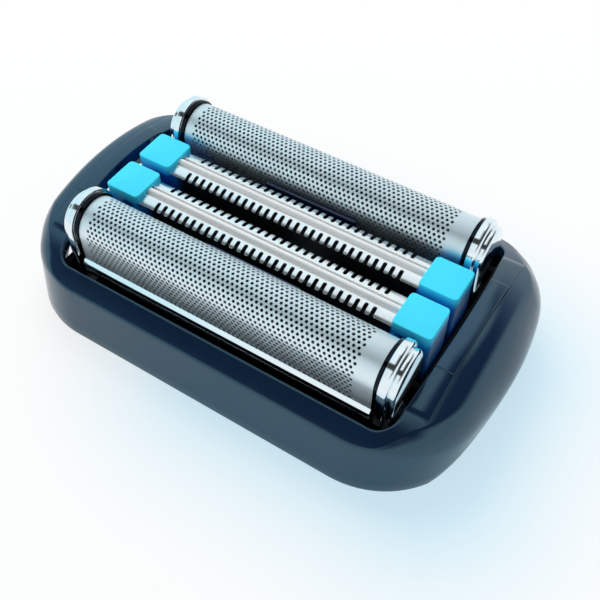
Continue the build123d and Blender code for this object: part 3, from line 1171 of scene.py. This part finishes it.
    def perforation(self, material: bpy.types.Material) -> PatternTree:
        """The tree that lays the cells in staggered rows and bends the sheet to its arch.

        Args:
            material: the foil's finish.

        Returns:
            The finished tree.
        """
        straight = self.foil_centre - self.foil_foot
        developed = math.pi * self.foil_radius + 2 * straight
        tree = PatternTree("perforated_arch", {
            "Pitch": self.cell_pitch * MM,
            "Row Pitch": developed / self.rows * MM,
            "Half Length": self.foil_length / 2 * MM,
            "Half Width": developed / 2 * MM,
            "Radius": self.foil_radius * MM,
            "Centre Height": self.foil_centre * MM,
            "Axis": self.middle * MM,
            "Left Margin": self.left_margin * MM,
            "Right Margin": self.right_margin * MM,
        })
        pitch, row_pitch = tree.size("Pitch"), tree.size("Row Pitch")
        grid = tree.node("GeometryNodeMeshGrid", {}, {"Vertices X": self.columns, "Vertices Y": self.rows})
        index = tree.shade(tree.node("GeometryNodeInputIndex"))
        row = index % float(self.rows)
        column = (index / float(self.rows)).floor()
        x = (column - (self.columns - 1.5) / 2 - 0.5 + (row % 2.0) * 0.5) * pitch
        width = (row - (self.rows - 1) / 2) * row_pitch
        spread = tree.move(grid.outputs["Mesh"], x, width, 0.0)
        points = tree.node("GeometryNodeMeshToPoints", {}, {"Mesh": spread}).outputs[0]
        place_x = tree.axes()[0]
        pierced = (place_x + tree.size("Half Length")).above(tree.size("Left Margin"))
        pierced = pierced * (tree.size("Half Length") - place_x).above(tree.size("Right Margin"))
        fit = {0: pitch, 1: row_pitch * (2 / math.sqrt(3)), 2: pitch}
        stretch = tree.node("ShaderNodeCombineXYZ", {}, fit).outputs[0]
        hexagon = {"Vertices": 6, "Radius": 1 / math.sqrt(3)}
        disc = tree.node("GeometryNodeMeshCircle", {"fill_type": "NGON"}, hexagon).outputs[0]
        turn = {"Geometry": disc, "Rotation": (0, 0, math.pi / 6)}
        plain = tree.node("GeometryNodeTransform", {}, turn).outputs[0]
        laid = []
        for chosen, cell in ((pierced, tree.entry.outputs[0]), (1.0 - pierced, plain)):
            sockets = {"Points": points, "Selection": chosen, "Instance": cell, "Scale": stretch}
            laid.append(tree.node("GeometryNodeInstanceOnPoints", {}, sockets).outputs[0])
        sheet = tree.weld(tree.join(*laid), self.weld_reach)
        x, width, _ = tree.axes()
        half_length, half_width = tree.size("Half Length"), tree.size("Half Width")
        sheet = tree.move(sheet, x.between(half_length * -1.0, half_length),
                          width.between(half_width * -1.0, half_width), 0.0)
        x, width, _ = tree.axes()
        radius = tree.size("Radius")
        angle = (width / radius).between(-math.pi / 2, math.pi / 2)
        drop = (abs(width) - radius * (math.pi / 2)).most(0.0)
        bent = tree.move(sheet, x, tree.size("Axis") + radius * angle.sine(),
                         tree.size("Centre Height") + radius * angle.cosine() - drop)
        tree.close(bent, material)
        return tree

    def foil(self, material: bpy.types.Material) -> bpy.types.Object:
        """The perforated arch.

        Args:
            material: the foil's finish.

        Returns:
            The piece.
        """
        piece = loose_object(f"{self.side.word}_foil_perforated", self.hole_cell())
        self.perforation(material).put_on(piece)
        settle(piece)
        thicken(piece, self.foil_sheet)
        soften(piece, 40.0)
        return piece

    def clip(self) -> bpy.types.Object:
        """The strip hooked under the inner rail.

        Returns:
            The piece.
        """
        solid = Solid()
        inner = self.middle - self.side.value * self.carrier_half_width
        outer = inner - self.side.value * self.clip_thickness
        hook = inner + self.side.value * self.rail_thickness
        low = self.rail_bottom - self.clip_hook
        outline = [(-self.clip_half_length, y, z) for y, z in (
            (outer, low), (hook, low), (hook, self.rail_bottom),
            (inner, self.rail_bottom), (inner, self.clip_top), (outer, self.clip_top))]
        solid.prism(outline, (2 * self.clip_half_length, 0.0, 0.0))
        piece = solid.piece(f"{self.side.word}_clip_strip")
        round_edges(piece, self.clip_round)
        soften(piece)
        return piece

    def build(self, finishes: dict[Slot, bpy.types.Material]) -> None:
        """Builds the unit and dresses it.

        Args:
            finishes: the material of each slot.
        """
        body = f"{self.side.word}_foil_unit"
        node = f"{self.side.word}_foil"
        sheet = finishes[Slot.FOIL]
        dress(self.carrier(), finishes[Slot.PLATING], body, Slot.PLATING, f"{node}_carrier")
        dress(self.foil(sheet), sheet, body, Slot.FOIL, node)
        dress(self.clip(), finishes[Slot.CLIP], body, Slot.CLIP, f"{node}_clip")


@dataclass
class CutterStack(LongUnit):
    """The lamellae that run under one foil."""

    axis: float = 9.5
    radius: float = 2.7
    centre: float = 10.7
    foot: float = 7.9
    thickness: float = 0.18
    pitch: float = 0.8
    count: int = 41
    arch_steps: int = 16

    def build(self, material: bpy.types.Material) -> None:
        """Builds the stack by repeating one lamella, and dresses it.

        Args:
            material: the lamellae's finish.
        """
        solid = Solid()
        face = -self.thickness / 2
        outline = arch_outline(face, self.middle, self.radius, self.centre, self.foot, self.arch_steps)
        solid.prism(outline, (self.thickness, 0.0, 0.0))
        piece = solid.piece(f"{self.side.word}_lamella_stack")
        tree = PatternTree("lamella_row", {"Pitch": self.pitch * MM})
        tree.close(tree.row(self.count, tree.size("Pitch")), material)
        tree.put_on(piece)
        settle(piece)
        dress(piece, material, f"{self.side.word}_cutter", Slot.BLADE, f"{self.side.word}_cutter_blades")


@dataclass
class TrimmerUnit(LongUnit):
    """One floating trimmer: a slotted comb between two blue end caps."""

    axis: float = 2.9
    comb_half_length: float = 16.35
    comb_half_width: float = 2.1
    comb_top: float = 11.2
    comb_sheet: float = 0.3
    droop: float = 0.4
    bend_reach: float = 1.25
    slot_count: int = 29
    slot_pitch: float = 1.0
    slot_width: float = 0.47
    slot_depth: float = 1.2
    tip_round: float = 0.13
    rib_half_width: float = 0.42
    rib_height: float = 0.3
    groove_width: float = 0.3
    groove_depth: float = 0.24
    tab_length: float = 1.5
    tab_half_width: float = 0.7
    cap_inner: float = 16.35
    cap_outer: float = 20.85
    cap_half_width: float = 2.3
    cap_top: float = 11.85
    cap_head_bottom: float = 10.4
    cap_leg_inner: float = 18.55
    cap_leg_bottom: float = 3.4
    cap_corner: float = 0.5
    cap_round: float = 0.26
    tongue_inner: float = 16.05
    tongue_half_width: float = 1.6
    lip_top: float = 5.35
    lip_thickness: float = 0.65
    lip_length: float = 2.35
    lip_half_width: float = 1.2
    pin_x: float = 16.9
    pin_z: float = 9.5
    pin_radius: float = 0.6
    toe_reach: float = 0.6
    toe_height: float = 0.8
    toe_half_width: float = 1.2
    extras_round: float = 0.12
    weld_reach: float = 0.01
    upright: float = 0.99
    slot_steps: int = 8
    tooth_steps: int = 4
    tip_steps: int = 3
    plate_columns: int = 4
    plate_rows: int = 9
    rib_steps: int = 8
    round_steps: int = 4
    corner_steps: int = 6
    pin_steps: int = 24

    @property
    def root(self) -> float:
        """How far the flat middle of the comb reaches from its axis before it bends."""
        return self.comb_half_width - self.bend_reach

    @property
    def bend_angle(self) -> float:
        """The turn of the bent edge, in radians."""
        return 2 * math.atan2(self.droop, self.bend_reach)

    @property
    def bend_radius(self) -> float:
        """The radius of the bent edge."""
        return self.bend_reach / math.sin(self.bend_angle)

    def slot_cell(self) -> bpy.types.Mesh:
        """One pitch of the comb's edge laid flat: a round-ended slot between two half teeth.

        Returns:
            The cell, in metres, with its root at Y nought and its tips at the developed width.
        """
        half_pitch, half_slot = self.slot_pitch / 2, self.slot_width / 2
        tip = self.bend_radius * self.bend_angle
        bottom = tip - self.slot_depth + half_slot
        form = bmesh.new()
        low, high = [], []
        for step in range(self.slot_steps + 1):
            turn = math.pi * step / self.slot_steps
            x = -half_slot * math.cos(turn)
            low.append(form.verts.new((x, 0.0, 0.0)))
            high.append(form.verts.new((x, bottom - half_slot * math.sin(turn), 0.0)))
        for first in range(self.slot_steps):
            form.faces.new((low[first], low[first + 1], high[first + 1], high[first]))
        for sign in (-1, 1):
            inner = low[0] if sign < 0 else low[-1]
            inner_next = high[0] if sign < 0 else high[-1]
            outer = form.verts.new((sign * half_pitch, 0.0, 0.0))
            outer_next = form.verts.new((sign * half_pitch, bottom, 0.0))
            form.faces.new((inner, inner_next, outer_next, outer))
            straight = tip - self.tip_round - bottom
            reaches = [bottom + straight * (step + 1) / self.tooth_steps for step in range(self.tooth_steps)]
            rows = [(reach, half_slot) for reach in reaches]
            for step in range(1, self.tip_steps + 1):
                turn = math.pi / 2 * step / self.tip_steps
                edge = half_slot + self.tip_round * (1 - math.cos(turn))
                rows.append((tip - self.tip_round * (1 - math.sin(turn)), edge))
            for reach, edge in rows:
                far_inner = form.verts.new((sign * edge, reach, 0.0))
                far_outer = form.verts.new((sign * half_pitch, reach, 0.0))
                form.faces.new((inner_next, far_inner, far_outer, outer_next))
                inner_next, outer_next = far_inner, far_outer
        bmesh.ops.recalc_face_normals(form, faces=form.faces[:])
        if form.faces[0].normal.z < 0:
            bmesh.ops.reverse_faces(form, faces=form.faces[:])
        bmesh.ops.scale(form, vec=(MM, MM, MM), verts=form.verts[:])
        mesh = bpy.data.meshes.new("slot_cell")
        form.to_mesh(mesh)
        form.free()
        return mesh

    def edge_tree(self, material: bpy.types.Material) -> PatternTree:
        """The tree that repeats the slots, adds the solid ends, bends the edge and mirrors it.

        Args:
            material: the comb's finish.

        Returns:
            The finished tree.
        """
        slotted_half = self.slot_count * self.slot_pitch / 2
        end_length = self.comb_half_length - slotted_half
        tip = self.bend_radius * self.bend_angle
        tree = PatternTree("slotted_edges", {
            "Pitch": self.slot_pitch * MM,
            "Bend Radius": self.bend_radius * MM,
            "Root": self.root * MM,
            "Top": self.comb_top * MM,
            "Axis": self.middle * MM,
        })
        parts = [tree.row(self.slot_count, tree.size("Pitch"))]
        plate = {"Size X": end_length * MM, "Size Y": tip * MM,
                 "Vertices X": self.plate_columns, "Vertices Y": self.plate_rows}
        for end in End:
            grid = tree.node("GeometryNodeMeshGrid", {}, plate).outputs["Mesh"]
            centre = (end.value * (slotted_half + end_length / 2) * MM, tip / 2 * MM, 0.0)
            put = tree.node("GeometryNodeTransform", {}, {"Geometry": grid, "Translation": centre})
            parts.append(put.outputs[0])
        flat = tree.weld(tree.join(*parts), self.weld_reach)
        x, reach, _ = tree.axes()
        radius = tree.size("Bend Radius")
        angle = reach / radius
        bent = tree.move(flat, x, tree.size("Root") + radius * angle.sine(),
                         tree.size("Top") - radius + radius * angle.cosine())
        mirrored = tree.node("GeometryNodeTransform", {}, {"Geometry": bent, "Scale": (1.0, -1.0, 1.0)})
        turned = tree.node("GeometryNodeFlipFaces", {}, {"Mesh": mirrored.outputs[0]})
        both = tree.join(bent, turned.outputs[0])
        x, y, z = tree.axes()
        tree.close(tree.move(both, x, y + tree.size("Axis"), z), material)
        return tree

    def comb(self, material: bpy.types.Material) -> bpy.types.Object:
        """The slotted comb: bent edges, a round middle rib between grooves, and end tabs.

        Args:
            material: the comb's finish.

        Returns:
            The piece.
        """
        edges = loose_object(f"{self.side.word}_comb_slotted", self.slot_cell())
        self.edge_tree(material).put_on(edges)
        settle(edges)
        thicken(edges, self.comb_sheet)
        solid = Solid()
        under = self.comb_top - self.comb_sheet
        groove = self.rib_half_width + self.groove_width
        floor = self.comb_top - self.groove_depth
        rise = self.rib_height + self.groove_depth
        half = []
        for step in range(self.rib_steps + 1):
            turn = math.pi / 2 * step / self.rib_steps
            half.append((self.rib_half_width * math.sin(turn), floor + rise * math.cos(turn)))
        half += [(groove, floor), (groove, self.comb_top), (self.root, self.comb_top), (self.root, under)]
        section = half + [(-y, z) for y, z in reversed(half[1:])]
        outline = [(-self.comb_half_length, self.middle + y, z) for y, z in section]
        solid.prism(outline, (2 * self.comb_half_length, 0.0, 0.0))
        for end in End:
            tab_x = end.span(self.comb_half_length, self.comb_half_length + self.tab_length)
            solid.block(tab_x, self.band(self.tab_half_width), (under, self.comb_top))
        absorb(edges, solid.piece("comb_rib"))
        soften(edges, 32.0)
        return edges

    def cap_extras(self, end: End) -> bpy.types.Object:
        """The small parts of a cap: its tongue, its lip, its stop toe and its pin.

        Args:
            end: the end that the cap is at.

        Returns:
            The parts, as one piece.
        """
        small = Solid()
        lip_bottom = self.lip_top - self.lip_thickness
        tongue_x = end.span(self.tongue_inner, self.cap_leg_inner + self.cap_round)
        tongue_z = (lip_bottom, self.cap_head_bottom + self.cap_round)
        small.block(tongue_x, self.band(self.tongue_half_width), tongue_z)
        lip_x = end.span(self.tongue_inner - self.lip_length, self.tongue_inner)
        small.block(lip_x, self.band(self.lip_half_width), (lip_bottom, self.lip_top))
        toe_x = end.span(self.cap_outer - self.cap_round, self.cap_outer + self.toe_reach)
        toe_z = (self.cap_leg_bottom, self.cap_leg_bottom + self.toe_height)
        small.block(toe_x, self.band(self.toe_half_width), toe_z)
        pin = []
        for step in range(self.pin_steps):
            angle = math.tau * step / self.pin_steps
            x = end.value * self.pin_x + self.pin_radius * math.cos(angle)
            pin.append((x, self.middle, self.pin_z + self.pin_radius * math.sin(angle)))
        small.prism(pin, (0.0, self.side.value * self.cap_half_width, 0.0))
        extras = small.piece("cap_extras")
        round_edges(extras, self.extras_round, angle=45.0)
        return extras

    def cap(self, end: End) -> bpy.types.Object:
        """A blue end cap: an overhanging head on a leg, with a tongue, a lip, a pin and a stop toe.

        Args:
            end: the end that the cap is at.

        Returns:
            The piece.
        """
        outline = [(self.cap_inner, self.cap_top), (self.cap_outer, self.cap_top),
                   (self.cap_outer, self.cap_leg_bottom), (self.cap_leg_inner, self.cap_leg_bottom),
                   (self.cap_leg_inner, self.cap_head_bottom), (self.cap_inner, self.cap_head_bottom)]
        head = Solid()
        low_y = self.middle - self.cap_half_width
        head.prism([(end.value * x, low_y, z) for x, z in outline], (0.0, 2 * self.cap_half_width, 0.0))
        piece = head.piece(f"{self.side.word}_{end.word}_cap_moulded")
        self.round_uprights(piece)
        round_edges(piece, self.cap_round, self.round_steps, 45.0)
        absorb(piece, self.cap_extras(end))
        soften(piece, 40.0)
        return piece

    def round_uprights(self, piece: bpy.types.Object) -> None:
        """Rounds the upright edges of a cap's head and leg more than its other edges.

        Args:
            piece: the cap.
        """
        form = bmesh.new()
        form.from_mesh(piece.data)
        uprights = []
        for edge in form.edges:
            along = (edge.verts[0].co - edge.verts[1].co).normalized()
            if abs(along.z) > self.upright:
                uprights.append(edge)
        bmesh.ops.bevel(form, geom=uprights, offset=self.cap_corner * MM, segments=self.corner_steps,
                        profile=0.5, affect="EDGES")
        form.to_mesh(piece.data)
        form.free()

    def build(self, finishes: dict[Slot, bpy.types.Material]) -> None:
        """Builds the unit and dresses it.

        Args:
            finishes: the material of each slot.
        """
        body = f"{self.side.word}_trimmer_unit"
        steel = finishes[Slot.COMB]
        dress(self.comb(steel), steel, body, Slot.COMB, f"{self.side.word}_trimmer_comb")
        for end in End:
            node = f"{self.side.word}_trimmer_{end.word}_cap"
            dress(self.cap(end), finishes[Slot.CAP], body, Slot.CAP, node)


@dataclass
class LeafSprings(LongUnit):
    """The bowed strips under both ends of one floating unit; the real ones flatten as it sinks, these keep
    their bowed shape.
    """

    unit: str
    span: float
    leg_middle: float
    deck_top: float = 1.8
    height: float = 1.6
    sheet: float = 0.25
    half_width: float = 0.8
    foot: float = 0.6
    steps: int = 24
    squashed_share: float = 0.25

    def build(self, material: bpy.types.Material) -> None:
        """Builds the pair and dresses it.

        Args:
            material: the springs' finish.
        """
        solid = Solid()
        reach = self.span / 2 - self.foot
        for end in End:
            line = [(-self.span / 2, 0.0)]
            for step in range(self.steps + 1):
                y = reach * (2 * step / self.steps - 1)
                line.append((y, (self.height - self.sheet) * (1 + math.cos(math.pi * y / reach)) / 2))
            line.append((self.span / 2, 0.0))
            x = end.value * self.leg_middle - self.half_width
            outline = [(x, self.middle + y, self.deck_top + rise) for y, rise in line]
            outline += [(x, self.middle + y, self.deck_top + rise + self.sheet) for y, rise in reversed(line)]
            solid.prism(outline, (2 * self.half_width, 0.0, 0.0))
        piece = solid.piece(f"{self.side.word}_{self.unit}_leaf_springs")
        soften(piece, 30.0)
        dress(piece, material, "housing", Slot.BLADE, f"{self.side.word}_{self.unit}_springs")
        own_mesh(piece)


@dataclass
class Works:
    """The CAD nodes that stay as they are and only get a finish."""

    nodes: dict[str, bpy.types.Object]
    dark: tuple[str, ...] = ("chassis", "front_cutter_carrier", "rear_cutter_carrier",
                             "front_trimmer_slider", "rear_trimmer_slider")
    steel: tuple[str, ...] = ("front_trimmer_blade", "rear_trimmer_blade")

    def build(self, finishes: dict[Slot, bpy.types.Material]) -> None:
        """Gives each node its finish.

        Args:
            finishes: the material of each slot.
        """
        for names, slot in ((self.dark, Slot.DARK), (self.steel, Slot.BLADE)):
            for name in names:
                self.nodes[name].data.materials.clear()
                self.nodes[name].data.materials.append(finishes[slot])
                LOG.info("%s: kept from the frame", name)


@dataclass
class Studio:
    """The white table, the room, the soft lamp and the camera."""

    eye_mm: Point3 = (35.23, -51.44, 77.55)
    right: Point3 = (0.8444, 0.5358, -0.0035)
    up: Point3 = (-0.4186, 0.6637, 0.6199)
    lens_mm: float = 49.3
    sensor_mm: float = 36.0
    clip_m: Point2 = (0.005, 10.0)
    table_half_m: float = 1.5
    table_white: Colour = (0.9, 0.91, 0.92)
    glow_white: Colour = (1.0, 1.0, 1.0)
    glow_share: float = 0.8
    # A pale blue painted shadow on the table round the head's foot, shifted towards the front right: its
    # size, shift, start, reach and colour.
    painted_shadow_half_mm: Point2 = (11.0, 7.0)
    painted_shadow_shift_mm: Point2 = (13.0, -4.0)
    painted_shadow_start_mm: float = 7.0
    painted_shadow_reach_mm: float = 20.0
    painted_shadow_colour: Colour = (0.68, 0.88, 0.98)
    sky: Colour = (0.95, 0.985, 1.0)
    left_sky: Colour = (0.72, 0.94, 1.0)
    left_span: Point2 = (-0.2, -0.6)
    horizon: float = 0.001
    ring_span: Point2 = (0.84, 0.34)
    ring_curve: float = 1.5
    front_slant: Point2 = (0.68, 0.83)
    front_side: Point2 = (0.35, -0.05)
    front_level: float = 0.95
    zenith_slant: Point2 = (0.36, 0.24)
    zenith_side: Point2 = (-0.02, -0.17)
    zenith_level: float = 0.95
    overhead_level: float = 0.05
    dome_aim: Point3 = (-0.4, 0.53, 0.75)
    dome_span: Point2 = (0.86, 0.94)
    dome_level: float = 1.05
    lamp_place_m: Point3 = (-0.20, 0.29, 0.42)
    lamp_size_m: Point2 = (0.42, 0.36)
    lamp_power: float = 2.3
    lamp_colour: Colour = (1.0, 0.99, 0.98)

    def camera(self) -> None:
        """Places the camera at the fitted eye."""
        data = bpy.data.cameras.new("camera")
        data.sensor_width = self.sensor_mm
        data.sensor_height = self.sensor_mm
        data.lens = self.lens_mm
        data.clip_start, data.clip_end = self.clip_m
        right = Vector(self.right).normalized()
        back = right.cross(Vector(self.up)).normalized()
        up = back.cross(right)
        made = bpy.data.objects.new("camera", data)
        turn = Matrix((right, up, back)).transposed().to_4x4()
        made.matrix_world = Matrix.Translation(Vector(self.eye_mm) * MM) @ turn
        bpy.context.scene.collection.objects.link(made)
        bpy.context.scene.camera = made

    def seen(self, bench: NodeBench) -> Shade:
        """One for rays that show the backdrop: from the camera, a mirror or glass.

        Args:
            bench: the tree's bench.

        Returns:
            One or nought.
        """
        path = bench.node("ShaderNodeLightPath")
        seen = bench.shade(path, "Is Camera Ray").most(bench.shade(path, "Is Glossy Ray"))
        return seen.most(bench.shade(path, "Is Transmission Ray"))

    def near(self, finish: Finish) -> Shade:
        """The painted shadow's mask: one close to the foot of the head, shifted towards the front right,
        falling to nought over the table.

        Args:
            finish: the table's material.

        Returns:
            From nought to one.
        """
        split = finish.node("ShaderNodeSeparateXYZ", {}, {0: finish.place})
        beyond = []
        for place in (0, 1):
            offset = finish.shade(split, place) - self.painted_shadow_shift_mm[place] * MM
            beyond.append((abs(offset) - self.painted_shadow_half_mm[place] * MM).most(0.0))
        distance = (beyond[0] ** 2.0 + beyond[1] ** 2.0) ** 0.5
        start = self.painted_shadow_start_mm * MM
        return distance.ramp(start + self.painted_shadow_reach_mm * MM, start) ** 2.0

    def table(self) -> None:
        """The white table under the head: it keeps a pale shadow, and a pale blue shadow is painted beside
        the head.
        """
        half = self.table_half_m
        corners = [(-half, -half, 0), (half, -half, 0), (half, half, 0), (-half, half, 0)]
        mesh = bpy.data.meshes.new("table")
        mesh.from_pydata(corners, [], [(0, 1, 2, 3)])
        table = loose_object("table", mesh)
        finish = Finish("white_table")
        near = self.near(finish)
        # Painted shadow: near the head's foot, the table's colour and its glow both turn pale blue.
        table_and_painted_shadow = finish.blend(near, self.table_white, self.painted_shadow_colour)
        matt = finish.node("ShaderNodeBsdfDiffuse", {}, {"Color": table_and_painted_shadow})
        glow_and_painted_shadow = finish.blend(near, self.glow_white, self.painted_shadow_colour)
        glow = finish.node("ShaderNodeEmission", {}, {"Color": glow_and_painted_shadow})
        mix = finish.node("ShaderNodeMixShader", {}, {
            0: self.seen(finish) * self.glow_share, 1: matt.outputs[0], 2: glow.outputs[0]})
        finish.tree.links.new(mix.outputs[0], finish.output.inputs["Surface"])
        mesh.materials.append(finish.material)

    def surroundings(self) -> None:
        """A room that is pale low down, in front and high on the left behind, and dim overhead."""
        world = bpy.data.worlds.new("room")
        world.use_nodes = True
        bpy.context.scene.world = world
        bench = NodeBench(world.node_tree)
        bench.tree.nodes.clear()
        place = bench.node("ShaderNodeTexCoord").outputs["Generated"]
        split = bench.node("ShaderNodeSeparateXYZ", {}, {0: place})
        x, y, z = (bench.shade(split, axis) for axis in range(3))
        slant = y / z.most(self.horizon) * -1.0
        aim = Vector(self.dome_aim).normalized()
        ring = z.ramp(*self.ring_span) ** self.ring_curve
        front = slant.ramp(*self.front_slant) * x.ramp(*self.front_side)
        zenith = x.ramp(*self.zenith_side) * slant.ramp(*self.zenith_slant)
        dome = (x * aim.x + y * aim.y + z * aim.z).ramp(*self.dome_span)
        level = ring.most(front * self.front_level).most(dome * self.dome_level)
        level = level.most(zenith * self.zenith_level + self.overhead_level)
        path = bench.shade(bench.node("ShaderNodeLightPath"), "Is Camera Ray")
        strength = path + (1.0 - path) * level
        colour = bench.blend(x.ramp(*self.left_span) * (1.0 - path), self.sky, self.left_sky)
        room = bench.node("ShaderNodeBackground", {}, {"Color": colour, "Strength": strength})
        output = bench.node("ShaderNodeOutputWorld")
        bench.tree.links.new(room.outputs[0], output.inputs[0])

    def lamp(self) -> None:
        """One soft lamp aimed at the head."""
        data = bpy.data.lights.new("back_softbox", "AREA")
        data.shape = "RECTANGLE"
        data.size, data.size_y = self.lamp_size_m
        data.energy = self.lamp_power
        data.color = self.lamp_colour
        lamp = bpy.data.objects.new("back_softbox", data)
        lamp.visible_glossy = False
        lamp.location = self.lamp_place_m
        lamp.rotation_euler = (-Vector(self.lamp_place_m)).to_track_quat("-Z", "Y").to_euler()
        bpy.context.scene.collection.objects.link(lamp)

    def build(self) -> None:
        """Sets the whole stage."""
        bpy.context.scene.view_settings.view_transform = "Standard"
        self.camera()
        self.table()
        self.surroundings()
        self.lamp()


def finishes() -> dict[Slot, bpy.types.Material]:
    """Builds one material for each slot of the record.

    Returns:
        The material of each slot.
    """
    # The colour of the painted shadow in the seat where each foil meets its cap.
    seat = (0.012, 0.016, 0.022)
    makers = {
        Slot.FRAME: MouldedPlastic(
            "slate_moulding", (0.006, 0.018, 0.05), (0.005, 0.015, 0.043), 0.12, 0.05, 14.0, 0.003,
            specular=1.0, specular_tint=(0.46, 0.84, 1.0)),
        Slot.DARK: MouldedPlastic(
            "black_moulding", (0.008, 0.009, 0.011), (0.005, 0.006, 0.007), 0.5, 0.15, 10.0, 0.01),
        Slot.PLATING: BrightMetal(
            "bright_plating", (0.84, 0.92, 0.96), (0.76, 0.85, 0.9), 0.05, 0.1, 3.0, 0.001,
            seat_shadow_tint=seat, seat_shadow_span_mm=(18.6, 19.08)),
        Slot.FOIL: BrightMetal(
            "foil_sheet", (0.82, 0.91, 0.95), (0.74, 0.84, 0.89), 0.42, 0.14, 6.0, 0.002,
            seat_shadow_tint=seat, seat_shadow_span_mm=(18.5, 18.7)),
        Slot.CLIP: MouldedPlastic(
            "navy_clip", (0.006, 0.02, 0.06), (0.004, 0.014, 0.045), 0.12, 0.06, 8.0, 0.002),
        Slot.COMB: BrightMetal(
            "comb_sheet", (0.88, 0.93, 0.96), (0.8, 0.86, 0.9), 0.18, 0.14, 8.0, 0.002),
        # The caps: sky blue on top, with painted shade that deepens the blue on their sides.
        Slot.CAP: MouldedPlastic(
            "sky_blue_moulding", (0.065, 0.74, 0.97), (0.055, 0.69, 0.95), 0.34, 0.1, 10.0, 0.004,
            specular=0.12, side_shade_colour=(0.003, 0.21, 0.72), side_shade_from_mm=11.72, side_shade_reach_mm=1.7),
        # Painted shade: grey steel darkened to stand in for the shade inside the head, on the lamellae,
        # trimmer blades and springs.
        Slot.BLADE: BrightMetal(
            "shade_darkened_steel", (0.26, 0.27, 0.29), (0.2, 0.21, 0.23), 0.32, 0.2, 10.0, 0.004),
    }
    return {slot: maker.material() for slot, maker in makers.items()}


def main() -> None:
    """Builds the head and its stage, and reports each piece."""
    logging.basicConfig(level=logging.INFO, format="%(name)s %(message)s")
    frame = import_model()
    materials = finishes()
    FrameShell().build(materials[Slot.FRAME])
    for side in Side:
        FoilUnit(side).build(materials)
        CutterStack(side).build(materials[Slot.BLADE])
        TrimmerUnit(side).build(materials)
        LeafSprings(side, axis=9.5, unit="foil", span=5.0, leg_middle=20.05).build(materials[Slot.BLADE])
        LeafSprings(side, axis=2.9, unit="trimmer", span=3.8, leg_middle=19.7).build(materials[Slot.BLADE])
    Works(frame["nodes"]).build(materials)
    Studio().build()


if __name__ == "__main__":
    main()
